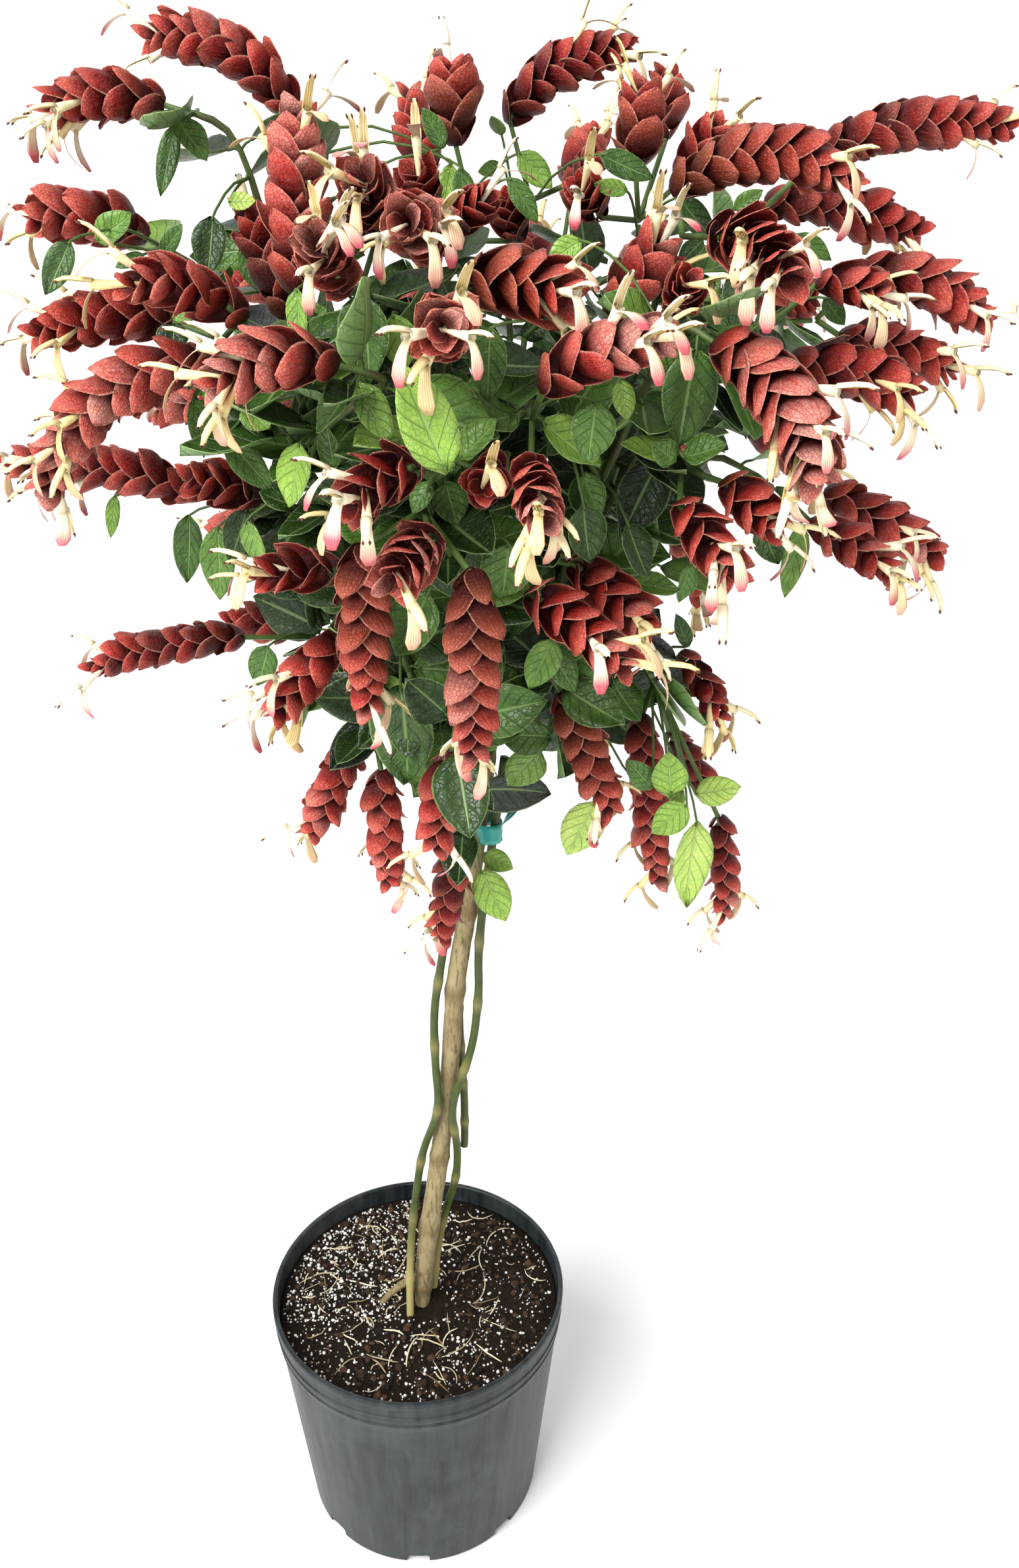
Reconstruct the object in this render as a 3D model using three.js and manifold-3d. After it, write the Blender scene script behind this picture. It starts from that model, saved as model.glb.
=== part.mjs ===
// Shrimp plant (Justicia brandegeeana) grown as a small standard tree in a nursery pot.
// Millimetres, +Z up, the front faces -Y, origin at the centre of the pot's underside.
import * as THREE from 'three';
import Module from 'manifold-3d';
import { mergeVertices } from 'three/addons/utils/BufferGeometryUtils.js';

const wasm = await Module();
wasm.setup();

// ---------- Driving dimensions ----------
const gap = 0.35; // clearance between pieces that touch
const pot = {
  rimRadius: 127, baseRadius: 104, height: 222, wall: 2.4, floor: 3.5,
  bandHeight: 26, bandStep: 3.2, lipHeight: 6, sides: 24,
  notchCount: 8, notchWidth: 20, notchHeight: 9, notchDepth: 14,
};
const soil = { level: 205, radius: 119.5, shoulder: 188, shrink: 1.7, swell: 3.5, sides: 20 };
const trunk = {
  // hand-set route of the main stem, which leans to the right on its way up
  route: [[2, -9, 128], [3, -8, 200], [9, -5, 270], [20, -2, 350], [31, 0, 440], [38, 0, 530],
    [50, 0, 610], [58, 0, 680], [65, 0, 742]],
  // radius at heights: thin where it leaves the soil, thickest a hand above it
  radii: [[128, 5.6], [205, 6], [235, 8.2], [300, 8.3], [400, 7.4], [742, 7]],
  ringSwell: 1.4, ringEvery: 3, sides: 7, steps: 27,
};
// the root that leaves the trunk over the soil and dives into it
const root = {
  route: [[2, -8, 236], [-12, -7, 227], [-26, -6, 212], [-38, -6, 194]], thick: 4, thin: 2.4, sides: 5,
};
const hub = { centre: [66, 0, 752], radius: 17, room: 0.75 };
const twining = { radius: 3.3, knot: 0.8, knotEvery: 4, sides: 5, steps: 34 };
// Hand-set winding of each twining stem: height, turn round the trunk in degrees, distance from its axis.
// The stems bow out to the sides and come together at the waist, at about 420; the back one is cut off.
const windings = {
  twining_stem_left: [[140, 236, 16], [205, 234, 16], [260, 214, 15.5], [313, 190, 15.4], [334, 182, 15.6],
    [366, 190, 15.2], [385, 208, 14.2], [404, 232, 13.5], [424, 246, 13.5], [458, 214, 14],
    [507, 190, 15.4], [545, 200, 14.4], [620, 196, 15], [668, 194, 15.1], [727, 190, 15.1]],
  twining_stem_right: [[140, 60, 18], [205, 60, 18], [260, 55, 18], [300, 42, 17], [325, 20, 16.5],
    [357, -8, 15.8], [380, -25, 14.2], [406, -63, 13.5], [424, -72, 13.5], [437, -66, 13.6],
    [454, -42, 14.4], [483, -12, 18.2], [527, -14, 19.5], [566, -32, 15.4], [604, -46, 14.8],
    [668, -38, 15.1], [727, -28, 15.1]],
  twining_stem_back: [[371, 9, 20], [415, 22, 15.8], [449, 44, 12.8], [483, 62, 12], [541, 84, 13],
    [620, 88, 14.6], [668, 86, 14.7], [727, 80, 14.7]],
};
const tie = { height: 668, inner: 19.4, thickness: 1, width: 15, tailWidth: 8, tailThickness: 0.9 };
const tieTail = [[75.4, 6.6, 668], [90, 0, 694], [94, -20, 745], [84, -52, 800]];
const stem = {
  boughRadius: 3.1, twigRadius: 2.2, twigTip: 1.9, twigFoot: 1.1, room: 2.4, stalk: 1.8,
  boughSteps: 5, twigSteps: 4,
};
// bracts: distance between rows, reach of a row's high and low corners as shares of the girth, how many
// rows a high corner is pushed forward, first and last row as shares of the spike, length of its point
const bract = {
  spacing: 13.5, crest: 1.25, valley: 0.92, push: 1, sides: 4, fewest: 4, first: 0.05, last: 0.9, point: 0.7,
};
// shares of a flower's length, except its throat's half width in millimetres
const flower = {
  length: 33, throat: 2.4, ahead: 0.8, lean: 0.62, tube: 0.4, upperReach: 0.5, upperRise: 0.12,
  lowerReach: 0.22, droop: 0.34, mouth: 0.045,
};
// room kept by flowers and stalks from everything that belongs to other nodes
const clearance = {
  twig: 0.8, flower: 2.2, flowersApart: 6, stalk: 1.6, leaf: 0.5, ownLeaf: 2.5, ownStem: 1.5,
  ownTwig: 1.2,
};
// radii of the balls that stand for what is already there while the growth plan is worked out
const held = {
  spikeSkin: 1.5, stalk: 2.5, tail: 5, trunk: 20, bough: 3.4, flower: 2.6, leaf: 2.6, shoot: 1.6,
};
const leaf = { keel: 0.13, arch: 0.14, half: 0.6, stalk: 1, stalkFoot: 0.55, shortStalk: 7 };

const colour = {
  pot: '#33363a', soil: '#43301f', bark: '#a8906a', green: '#4c6133', tie: '#1d8f88',
  leaf: '#3d6b2c', bract: '#9b3b34',
};

// ---------- Hand-set places ----------
// Bunches of flower spikes. Each spike: base x y z, tip x y z, bow x y z of its curve's handle,
// girth radius, number of open flowers. A bunch of several spikes forks at its joint.
const bunches = [
  { name: 'spikes_left_1', spikes: [[-50, 20, 1135, -130, 10, 1170, 6, 0, 26, 15, 2]] },
  { name: 'spikes_left_2', spikes: [[-120, -10, 1135, -182, -20, 1130, 0, 0, 14, 15, 5]] },
  { name: 'spikes_left_3', spikes: [[-135, -20, 1065, -192, -40, 1075, 0, 0, 14, 16, 2]] },
  { name: 'spikes_left_4', joint: [-84, -70, 1012], spikes: [
    [-113, -52, 1020, -187, -80, 1015, 0, 0, 14, 15, 4],
    [-66, -98, 1026, -116, -140, 1044, 0, 0, 16, 15, 2]] },
  { name: 'spikes_left_5', joint: [-38, -58, 1014], spikes: [
    [-36, -88, 1040, -31, -80, 1127, -2, 0, 0, 18, 4],
    [-54, -20, 1022, -76, -10, 1080, 0, 0, 0, 14, 1]] },
  { name: 'spikes_left_6', spikes: [[-86, -105, 1003, -180, -118, 932, -22, 0, 32, 16, 7]] },
  { name: 'spikes_left_7', spikes: [[-6, -182, 1010, -60, -212, 1003, 0, 0, 14, 16, 7]] },
  { name: 'spikes_left_8', joint: [-64, -42, 912], spikes: [
    [-120, -20, 915, -234, -30, 935, 0, 0, 16, 15, 5],
    [-72, -68, 920, -104, -92, 938, 0, 0, 6, 14, 0]] },
  { name: 'spikes_left_9', joint: [-55, 4, 812], spikes: [
    [-100, -22, 820, -202, -32, 800, 0, 0, 12, 14, 2],
    [-64, 28, 812, -118, 32, 815, 0, 0, 4, 14, 0]] },
  { name: 'spikes_front_1', joint: [-3, -112, 876], spikes: [
    [-16, -130, 893, -56, -160, 898, 0, 0, 6, 13, 3],
    [-18, -118, 852, -56, -140, 812, 0, 0, 6, 15, 6]] },
  { name: 'spikes_front_2', joint: [-6, -84, 776], spikes: [
    [-20, -72, 768, -52, -80, 703, 0, 0, 0, 14, 2],
    [0, -110, 760, 2, -112, 682, 0, 0, 0, 13, 4]] },
  { name: 'spikes_front_3', spikes: [[46, -150, 790, 35, -150, 728, 0, 0, 0, 14, 4]] },
  { name: 'spikes_front_4', spikes: [[46, -66, 688, 33, -70, 616, 0, 0, 0, 13, 3]] },
  { name: 'spikes_front_5', joint: [34, -158, 934], spikes: [
    [0, -172, 916, 2, -172, 824, 0, 0, 0, 14, 3],
    [61, -208, 912, 61, -205, 808, 0, 0, 0, 14, 2],
    [40, -184, 926, 24, -240, 916, 0, 0, 4, 14, 1]] },
  { name: 'spikes_front_6', joint: [42, -146, 962], spikes: [
    [34, -190, 962, 4, -232, 952, 0, 0, 8, 14, 3],
    [8, -156, 944, 2, -186, 938, 0, 0, 0, 10, 1],
    [70, -150, 950, 66, -192, 953, 0, 0, 0, 12, 1]] },
  { name: 'spikes_front_7', joint: [-6, -56, 1036], spikes: [
    [4, -40, 1066, 2, -92, 1096, 0, 0, 0, 16, 4],
    [-8, -120, 1044, -14, -168, 1066, 0, 0, 0, 14, 4],
    [-26, -24, 1036, -32, -40, 1056, 0, 0, 0, 11, 0]] },
  { name: 'spikes_front_8', joint: [40, -36, 1058], spikes: [
    [38, -66, 1068, 28, -144, 1074, 0, 0, 0, 17, 5],
    [46, -22, 1070, 66, -38, 1086, 0, 0, 0, 12, 1],
    [34, 8, 1080, 26, -8, 1098, 0, 0, 0, 13, 1]] },
  { name: 'spikes_front_9', joint: [50, -116, 1018], spikes: [
    [58, -120, 1042, 107, -150, 1040, 0, 0, 10, 18, 3],
    [48, -150, 1024, 50, -228, 1030, 0, 0, 0, 15, 4]] },
  { name: 'spikes_front_10', joint: [92, -140, 978], spikes: [
    [97, -180, 999, 152, -202, 1024, 0, 0, 10, 15, 6],
    [91, -168, 956, 96, -230, 942, 0, 0, 8, 13, 5]] },
  { name: 'spikes_front_11', joint: [146, -72, 1006], spikes: [
    [137, -62, 1026, 166, -60, 1062, 0, 0, 0, 16, 5],
    [170, -106, 1030, 172, -132, 1046, 0, 0, 0, 11, 1]] },
  { name: 'spikes_front_12', joint: [100, -122, 898], spikes: [
    [117, -108, 892, 157, -148, 866, 0, 0, 6, 15, 2],
    [92, -160, 888, 140, -212, 864, 0, 0, 6, 15, 4]] },
  { name: 'spikes_front_13', spikes: [[112, -100, 808, 144, -110, 732, 3, 0, 0, 14, 3]] },
  { name: 'spikes_right_1', joint: [176, -42, 796], spikes: [
    [166, -60, 776, 184, -60, 652, 0, 0, 0, 13, 3],
    [192, -10, 746, 228, -10, 696, 0, 0, 3, 12, 0],
    [191, -60, 822, 215, -80, 786, 0, 0, 2, 11, 3],
    [226, -40, 694, 234, -40, 614, 4, 0, 0, 11, 3]] },
  { name: 'spikes_right_2', joint: [176, -112, 948], spikes: [
    [200, -122, 941, 222, -152, 924, 0, 0, 4, 14, 2],
    [172, -148, 934, 194, -190, 908, 0, 0, 4, 14, 3]] },
  { name: 'spikes_right_3', joint: [246, -40, 922], spikes: [
    [280, -30, 916, 351, -40, 879, 0, 0, 8, 15, 4],
    [262, -72, 908, 304, -102, 884, 0, 0, 6, 13, 3]] },
  { name: 'spikes_right_4', spikes: [[188, -148, 1016, 229, -212, 960, 12, 0, 16, 19, 7]] },
  { name: 'spikes_right_5', joint: [224, -28, 1006], spikes: [
    [242, -72, 1000, 306, -90, 984, 0, 0, 8, 16, 4],
    [240, 8, 1030, 264, 0, 1030, 0, 0, 0, 12, 0],
    [260, -40, 1041, 290, -60, 1036, 0, 0, 4, 13, 4]] },
  { name: 'spikes_right_6', joint: [270, 0, 1018], spikes: [
    [296, 6, 1046, 371, -8, 1019, 0, 0, 14, 16, 2],
    [286, -4, 1008, 355, -14, 990, 0, 0, 8, 14, 3]] },
  { name: 'spikes_right_7', joint: [178, -50, 1066], spikes: [
    [176, -30, 1090, 272, -58, 1090, 0, 0, 38, 16, 2],
    [192, -92, 1066, 217, -170, 1048, 0, 0, 10, 17, 5]] },
  { name: 'spikes_right_8', joint: [236, 46, 1076], spikes: [
    [276, 40, 1115, 386, 30, 1125, 0, 0, 16, 15, 3],
    [246, 58, 1084, 342, 50, 1066, 0, 0, 12, 15, 4]] },
  { name: 'spikes_top_1', joint: [162, 46, 1074], spikes: [
    [158, 40, 1104, 162, 40, 1146, 0, 0, 0, 17, 3],
    [184, 108, 1124, 182, 110, 1160, 0, 0, 0, 13, 0],
    [188, 60, 1096, 210, 52, 1127, 0, 0, 0, 15, 2],
    [136, 20, 1076, 122, 0, 1092, 0, 0, 0, 12, 2]] },
  { name: 'spikes_top_2', joint: [94, 88, 1086], spikes: [
    [80, 100, 1134, 156, 90, 1173, -16, 0, 18, 15, 5],
    [124, 90, 1098, 136, 88, 1112, 0, 0, 0, 11, 1]] },
  { name: 'spikes_top_3', joint: [60, 58, 1062], spikes: [
    [46, 60, 1118, 45, 58, 1157, 0, 0, 0, 17, 1],
    [86, 62, 1062, 77, 50, 1084, 0, 0, 0, 13, 0]] },
  { name: 'spikes_back_1', joint: [-52, 76, 984], spikes: [
    [-62, 92, 1020, -122, 132, 1034, 0, 0, 14, 15, 3],
    [-92, 62, 962, -168, 90, 950, 0, 0, 14, 15, 4]] },
  { name: 'spikes_back_2', joint: [-4, 128, 962], spikes: [
    [-40, 132, 960, -92, 194, 930, 0, 0, 14, 16, 4],
    [18, 152, 1010, 8, 224, 1010, 0, 0, 12, 15, 4]] },
  { name: 'spikes_back_3', joint: [-42, 90, 880], spikes: [
    [-32, 114, 868, -84, 154, 818, 0, 0, 12, 14, 3],
    [-82, 82, 882, -142, 112, 852, 0, 0, 10, 15, 3]] },
  { name: 'spikes_back_4', joint: [16, 94, 1066], spikes: [
    [0, 122, 1072, -32, 168, 1102, 0, 0, 8, 15, 3],
    [24, 92, 1098, 14, 120, 1150, 0, 0, 0, 14, 2]] },
  { name: 'spikes_back_5', joint: [104, 128, 976], spikes: [
    [92, 170, 1046, 100, 240, 1056, 0, 0, 12, 16, 4],
    [124, 152, 1092, 142, 202, 1130, 0, 0, 6, 15, 3],
    [102, 156, 966, 112, 228, 928, 0, 0, 14, 15, 4]] },
  { name: 'spikes_back_6', joint: [192, 116, 1024], spikes: [
    [164, 142, 1042, 194, 208, 1034, 0, 0, 12, 15, 4],
    [232, 112, 1030, 294, 162, 1010, 0, 0, 12, 15, 3]] },
  { name: 'spikes_back_7', joint: [196, 108, 934], spikes: [
    [184, 152, 946, 222, 212, 906, 0, 0, 14, 15, 4],
    [250, 102, 940, 322, 136, 900, 0, 0, 12, 15, 3],
    [204, 112, 862, 242, 152, 790, 0, 0, 10, 14, 3]] },
  { name: 'spikes_back_8', joint: [98, 112, 862], spikes: [
    [42, 150, 890, 22, 208, 832, 0, 0, 12, 14, 4],
    [124, 142, 868, 132, 192, 798, 0, 0, 12, 15, 3],
    [60, 102, 800, 54, 130, 720, 0, 0, 6, 14, 3],
    [142, 82, 790, 160, 102, 708, 0, 0, 4, 13, 3]] },
];

// Leafy boughs: pairs of ruled leaves on each twig, the handle that sets off from the hub, the far
// end, and the bunches they carry.
const boughs = [
  { name: 'bough_left_high', pairs: 1, handle: [-16, 15, 880], end: [-62, 4, 1000],
    carries: ['spikes_left_1', 'spikes_left_2', 'spikes_left_3'] },
  { name: 'bough_left_front', pairs: 0, handle: [-8, -62, 878], end: [-44, -92, 958],
    carries: ['spikes_left_4', 'spikes_left_5', 'spikes_left_6', 'spikes_left_7'] },
  { name: 'bough_left_low', pairs: 1, handle: [-34, -2, 778], end: [-40, -14, 866],
    carries: ['spikes_left_8', 'spikes_left_9'] },
  { name: 'bough_front_low', pairs: 0, handle: [30, -84, 778], end: [16, -112, 838],
    carries: ['spikes_front_1', 'spikes_front_2', 'spikes_front_3', 'spikes_front_4'] },
  { name: 'bough_front_mid', pairs: 0, handle: [60, -92, 852], end: [46, -126, 912],
    carries: ['spikes_front_5', 'spikes_front_6'] },
  { name: 'bough_front_top', pairs: 0, handle: [48, -22, 900], end: [34, -70, 990],
    carries: ['spikes_front_7', 'spikes_front_8', 'spikes_front_9'] },
  { name: 'bough_front_right', pairs: 0, handle: [112, -62, 858], end: [132, -96, 938],
    carries: ['spikes_front_10', 'spikes_front_11', 'spikes_right_2', 'spikes_right_4'] },
  { name: 'bough_right_low', pairs: 0, handle: [134, -42, 772], end: [150, -52, 846],
    carries: ['spikes_front_12', 'spikes_front_13', 'spikes_right_1', 'spikes_right_3'] },
  { name: 'bough_right_high', pairs: 1, handle: [142, -10, 905], end: [190, -14, 984],
    carries: ['spikes_right_5', 'spikes_right_6', 'spikes_right_7', 'spikes_right_8'] },
  { name: 'bough_top', pairs: 1, handle: [75, 30, 900], end: [90, 44, 1004],
    carries: ['spikes_top_1', 'spikes_top_2', 'spikes_top_3'] },
  { name: 'bough_back_left', pairs: 1, handle: [38, 62, 862], end: [6, 88, 936],
    carries: ['spikes_back_1', 'spikes_back_2', 'spikes_back_3', 'spikes_back_4'] },
  { name: 'bough_back_right', pairs: 1, handle: [110, 62, 862], end: [134, 98, 938],
    carries: ['spikes_back_5', 'spikes_back_6', 'spikes_back_7', 'spikes_back_8'] },
];

// Larger leaves, each set by hand: foot x y z, tip x y z, width.
const chosenLeaves = [
  [-110, -10, 1128, -92, -20, 1108, 17], [-112, -14, 1124, -124, -22, 1088, 12],
  [-90, -38, 1076, -95, -46, 1046, 19], [-152, -58, 1064, -130, -68, 1078, 15],
  [-158, -48, 1064, -174, -56, 1038, 15], [-108, -80, 1022, -110, -86, 1006, 17],
  [-30, -128, 1042, -32, -136, 1014, 12], [6, -150, 1040, 6, -158, 998, 26],
  [44, 42, 1106, 38, 36, 1080, 12], [50, 32, 1104, 55, 26, 1076, 15], [40, 36, 1115, 28, 30, 1136, 12],
  [86, 80, 1114, 108, 74, 1094, 17], [80, 60, 1098, 98, 54, 1074, 13], [134, 8, 1110, 166, 2, 1098, 15],
  [140, -108, 1064, 120, -116, 1016, 24], [120, -60, 1064, 102, -66, 1054, 14],
  [20, -140, 1030, 26, -146, 1004, 18], [70, -180, 1024, 68, -186, 988, 18],
  [4, -160, 1000, 21, -166, 974, 16], [50, -200, 964, 32, -206, 1014, 26],
  [55, -200, 965, 72, -206, 986, 16], [92, -180, 990, 80, -188, 948, 18],
  [124, -170, 990, 121, -176, 962, 22], [136, -160, 1000, 142, -166, 982, 13],
  [170, -140, 960, 140, -146, 968, 16], [164, -110, 995, 176, -116, 1017, 16],
  [120, -130, 948, 132, -136, 926, 15], [120, -140, 934, 126, -146, 904, 22],
  [146, -130, 920, 161, -136, 892, 20], [154, -90, 876, 182, -96, 875, 15],
  [190, -80, 884, 185, -86, 862, 14], [80, -170, 918, 76, -176, 890, 26],
  [46, -180, 948, 52, -186, 926, 18], [38, -180, 950, 28, -186, 936, 12],
  [0, -120, 908, -16, -126, 926, 17], [-16, -130, 950, -20, -136, 974, 13],
  [35, -150, 886, 14, -156, 852, 29], [16, -140, 826, 16, -148, 764, 38],
  [106, -120, 850, 92, -126, 820, 19], [105, -110, 840, 121, -116, 816, 17],
  [74, -100, 814, 77, -106, 788, 16], [106, -90, 776, 74, -96, 778, 23],
  [100, -80, 762, 80, -86, 738, 25], [146, -70, 806, 166, -76, 782, 23],
  [138, -60, 716, 120, -66, 676, 27], [60, -56, 662, 78, -62, 622, 24],
  [62, -54, 670, 82, -60, 660, 15], [-104, -80, 980, -102, -86, 946, 12],
  [-102, -80, 980, -86, -86, 962, 12], [-80, -100, 962, -56, -106, 934, 17],
  [-68, -100, 980, -54, -106, 968, 17], [-34, -130, 964, -46, -136, 932, 25],
  [-44, -100, 926, -60, -106, 936, 14], [-118, -50, 908, -124, -56, 866, 18],
  [-100, -56, 902, -104, -62, 856, 21], [-80, -60, 914, -94, -66, 882, 18],
  [-76, -60, 912, -70, -66, 884, 16], [-78, -40, 820, -88, -46, 794, 19],
  [168, -150, 958, 156, -156, 968, 14], [172, -150, 960, 192, -156, 970, 18],
  [171, -164, 955, 175, -170, 904, 23], [230, -80, 910, 242, -86, 886, 19],
  [262, -50, 902, 255, -56, 856, 15], [180, -20, 1086, 202, -26, 1064, 15],
  [192, -60, 1064, 177, -66, 1053, 13], [201, -90, 1048, 210, -96, 1014, 16],
  [190, -80, 1034, 201, -86, 1018, 12], [186, -110, 1010, 210, -116, 1026, 12],
  [218, -70, 1018, 235, -76, 1002, 15], [268, -40, 1032, 281, -46, 1018, 12],
  [200, -60, 722, 186, -66, 752, 21], [162, -50, 726, 176, -56, 740, 17],
  [205, -60, 722, 234, -66, 730, 19], [200, -60, 714, 178, -66, 688, 18],
  [206, -60, 706, 203, -66, 640, 25],
];
const ruledLeaves = { length: 44, width: 20, seed: 77 };

// ---------- Small helpers ----------
const v = ([x, y, z]) => new THREE.Vector3(x, y, z);
const along = (a, d, s) => a.clone().addScaledVector(d, s);
const toward = (a, b) => b.clone().sub(a).normalize();
const crossed = (a, b) => new THREE.Vector3().crossVectors(a, b).normalize();
const mix = (a, b, t) => a + (b - a) * t;

function draws(seed) {
  let state = seed;
  return () => {
    state = (state * 16807) % 2147483647;
    return state / 2147483647;
  };
}

// Height-to-value table read at a height, with straight runs between its rows.
function readTable(rows, height, column = 1) {
  for (let i = 1; i < rows.length; i += 1) {
    const [low, high] = [rows[i - 1], rows[i]];
    const share = Math.max(0, (height - low[0]) / (high[0] - low[0]));
    if (height <= high[0]) return mix(low[column], high[column], share);
  }
  return rows[rows.length - 1][column];
}

// Two directions square to an axis direction.
function sideways(direction) {
  const hint = Math.abs(direction.z) < 0.8 ? v([0, 0, 1]) : v([0, 1, 0]);
  const right = crossed(direction, hint);
  return [right, crossed(right, direction)];
}

// ---------- Solids ----------
function toSolid(geometry) {
  geometry.deleteAttribute('normal');
  geometry.deleteAttribute('uv');
  const merged = mergeVertices(geometry, 1e-4);
  return new wasm.Manifold(new wasm.Mesh({
    numProp: 3,
    vertProperties: new Float32Array(merged.attributes.position.array),
    triVerts: new Uint32Array(merged.index.array),
  }));
}

function fromPoints(points, faces) {
  const geometry = new THREE.BufferGeometry().setFromPoints(points);
  geometry.setIndex(faces.flat());
  return outwards(geometry);
}

function toGeometry(solid) {
  const mesh = solid.getMesh();
  const geometry = new THREE.BufferGeometry();
  geometry.setAttribute('position', new THREE.BufferAttribute(mesh.vertProperties, 3));
  geometry.setIndex(new THREE.BufferAttribute(mesh.triVerts, 1));
  return geometry.toNonIndexed();
}

// Directions along a route that turn as little as they can from one point to the next.
function framesAlong(points) {
  let up = sideways(toward(points[0], points[1]))[1];
  return points.map((point, k) => {
    const ahead = toward(points[Math.max(0, k - 1)], points[Math.min(points.length - 1, k + 1)]);
    const right = crossed(ahead, up);
    up = crossed(right, ahead);
    return { right, up };
  });
}

// A closed limb along a route: a cylinder whose rows are moved onto the route's points.
function limb(points, radiusAt, sides) {
  const steps = points.length - 1;
  const frames = framesAlong(points);
  const geometry = new THREE.CylinderGeometry(1, 1, 1, sides, steps);
  const place = geometry.attributes.position;
  for (let i = 0; i < place.count; i += 1) {
    const k = Math.round((place.getY(i) + 0.5) * steps);
    const size = Math.hypot(place.getX(i), place.getZ(i)) * radiusAt(k / steps, k);
    const turn = Math.atan2(place.getX(i), place.getZ(i));
    const point = along(points[k], frames[k].right, size * Math.sin(turn));
    point.addScaledVector(frames[k].up, size * Math.cos(turn));
    place.setXYZ(i, point.x, point.y, point.z);
  }
  return outwards(geometry);
}

function flipped(geometry) {
  const faces = geometry.index.array;
  for (let i = 0; i < faces.length; i += 3) [faces[i], faces[i + 1]] = [faces[i + 1], faces[i]];
  return geometry;
}

function outwards(geometry) {
  const solid = toSolid(geometry);
  return solid.volume() > 0 ? solid : toSolid(flipped(geometry));
}

const fuse = (solids) => solids.reduce((all, one) => all.add(one));

// ---------- Growth plan ----------
// A spike's axis is a curve with one handle; it is fattest in its middle and blunt at its tip.
function readSpike(row) {
  const [bx, by, bz, tx, ty, tz, hx, hy, hz, girth, flowers] = row;
  const base = v([bx, by, bz]);
  const tip = v([tx, ty, tz]);
  const handle = base.clone().add(tip).multiplyScalar(0.5).add(v([hx, hy, hz]));
  const axis = new THREE.QuadraticBezierCurve3(base, handle, tip);
  return { base, tip, axis, girth, flowers, length: base.distanceTo(tip) };
}

function girthAt(spike, t) {
  const swell = t < 0.22 ? mix(0.6, 1, t / 0.22) : 1;
  const taper = t > 0.65 ? mix(1, 0.55, (t - 0.65) / 0.35) : 1;
  return spike.girth * swell * taper;
}

// Everything that takes up room, as balls: centre, radius, owner.
const balls = [];
const addBall = (centre, radius, owner, kind) => balls.push({ centre, radius, owner, kind });

// Smallest space left between some points and everything that others own.
function spaceAround(points, owner, extra = {}) {
  let least = 1e9;
  for (const ball of balls) {
    if (ball.owner === owner) continue;
    const more = extra[ball.kind] ?? 0;
    for (const point of points) {
      least = Math.min(least, point.distanceTo(ball.centre) - ball.radius - more);
    }
  }
  return least;
}

for (const bunch of bunches) {
  bunch.parts = bunch.spikes.map(readSpike);
  bunch.at = bunch.joint ? v(bunch.joint) : bunch.parts[0].base;
  const lead = new THREE.Vector3();
  for (const spike of bunch.parts) {
    for (let i = 0; i <= 12; i += 1) {
      addBall(spike.axis.getPoint(i / 12), girthAt(spike, i / 12) + held.spikeSkin, bunch.name, 'spike');
    }
    const reach = bunch.joint ? toward(bunch.at, spike.base) : spike.axis.getTangent(0);
    lead.add(reach);
    for (let i = 0; bunch.joint && i < 8; i += 1) {
      addBall(bunch.at.clone().lerp(spike.base, i / 8), held.stalk, bunch.name, 'stem');
    }
  }
  bunch.lead = lead.lengthSq() > 0.01 ? lead.normalize() : v([0, 0, 1]);
}
for (let i = 0; i <= 12; i += 1) {
  const point = new THREE.CatmullRomCurve3(tieTail.map(v)).getPoint(i / 12);
  addBall(point, held.tail, 'tie_ribbon', 'stem');
}
for (let i = 0; i <= 40; i += 1) {
  const point = new THREE.CatmullRomCurve3(trunk.route.map(v)).getPoint(i / 40);
  addBall(point, held.trunk, 'trunk', 'stem');
}

// Boughs leave the hub square to it; twigs leave the boughs and bend clear of what is in their way.
const hubCentre = v(hub.centre);
const knob = new THREE.IcosahedronGeometry(hub.radius, 1).translate(...hub.centre);
const knobMesh = new THREE.Mesh(knob, new THREE.MeshBasicMaterial({ side: THREE.DoubleSide }));
for (const bough of boughs) {
  const away = toward(hubCentre, v(bough.handle));
  const [skin] = new THREE.Raycaster(hubCentre, away).intersectObject(knobMesh);
  const start = along(hubCentre, away, skin.distance + hub.room);
  const axis = new THREE.QuadraticBezierCurve3(start, v(bough.handle), v(bough.end));
  bough.route = axis.getPoints(stem.boughSteps);
  bough.twigs = [];
  for (let i = 1; i <= 16; i += 1) addBall(pointOn(bough.route, i / 16), held.bough, bough.name, 'stem');
}

// Point at a share of a route of straight runs, each run counting alike.
function pointOn(route, share) {
  const place = Math.min(share * (route.length - 1), route.length - 1.001);
  const run = Math.floor(place);
  return route[run].clone().lerp(route[run + 1], place - run);
}

const headingOn = (route, share) => toward(pointOn(route, Math.max(0, share - 0.05)),
  pointOn(route, Math.min(1, share + 0.05)));

function twigRoute(bough, bunch, from, push, close) {
  const main = headingOn(bough.route, from);
  const start = pointOn(bough.route, from);
  const end = along(bunch.at, bunch.lead, bunch.joint ? -stem.room : -gap);
  const span = start.distanceTo(end);
  const leaving = toward(start, end).multiplyScalar(1.4).add(main).normalize();
  const first = along(start, leaving, 0.3 * span).add(push);
  const second = along(end, bunch.lead, -close * span);
  const route = new THREE.CubicBezierCurve3(start, first, second, end).getPoints(stem.twigSteps);
  route[stem.twigSteps - 1] = along(end, bunch.lead, -0.22 * span);
  return route;
}

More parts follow.
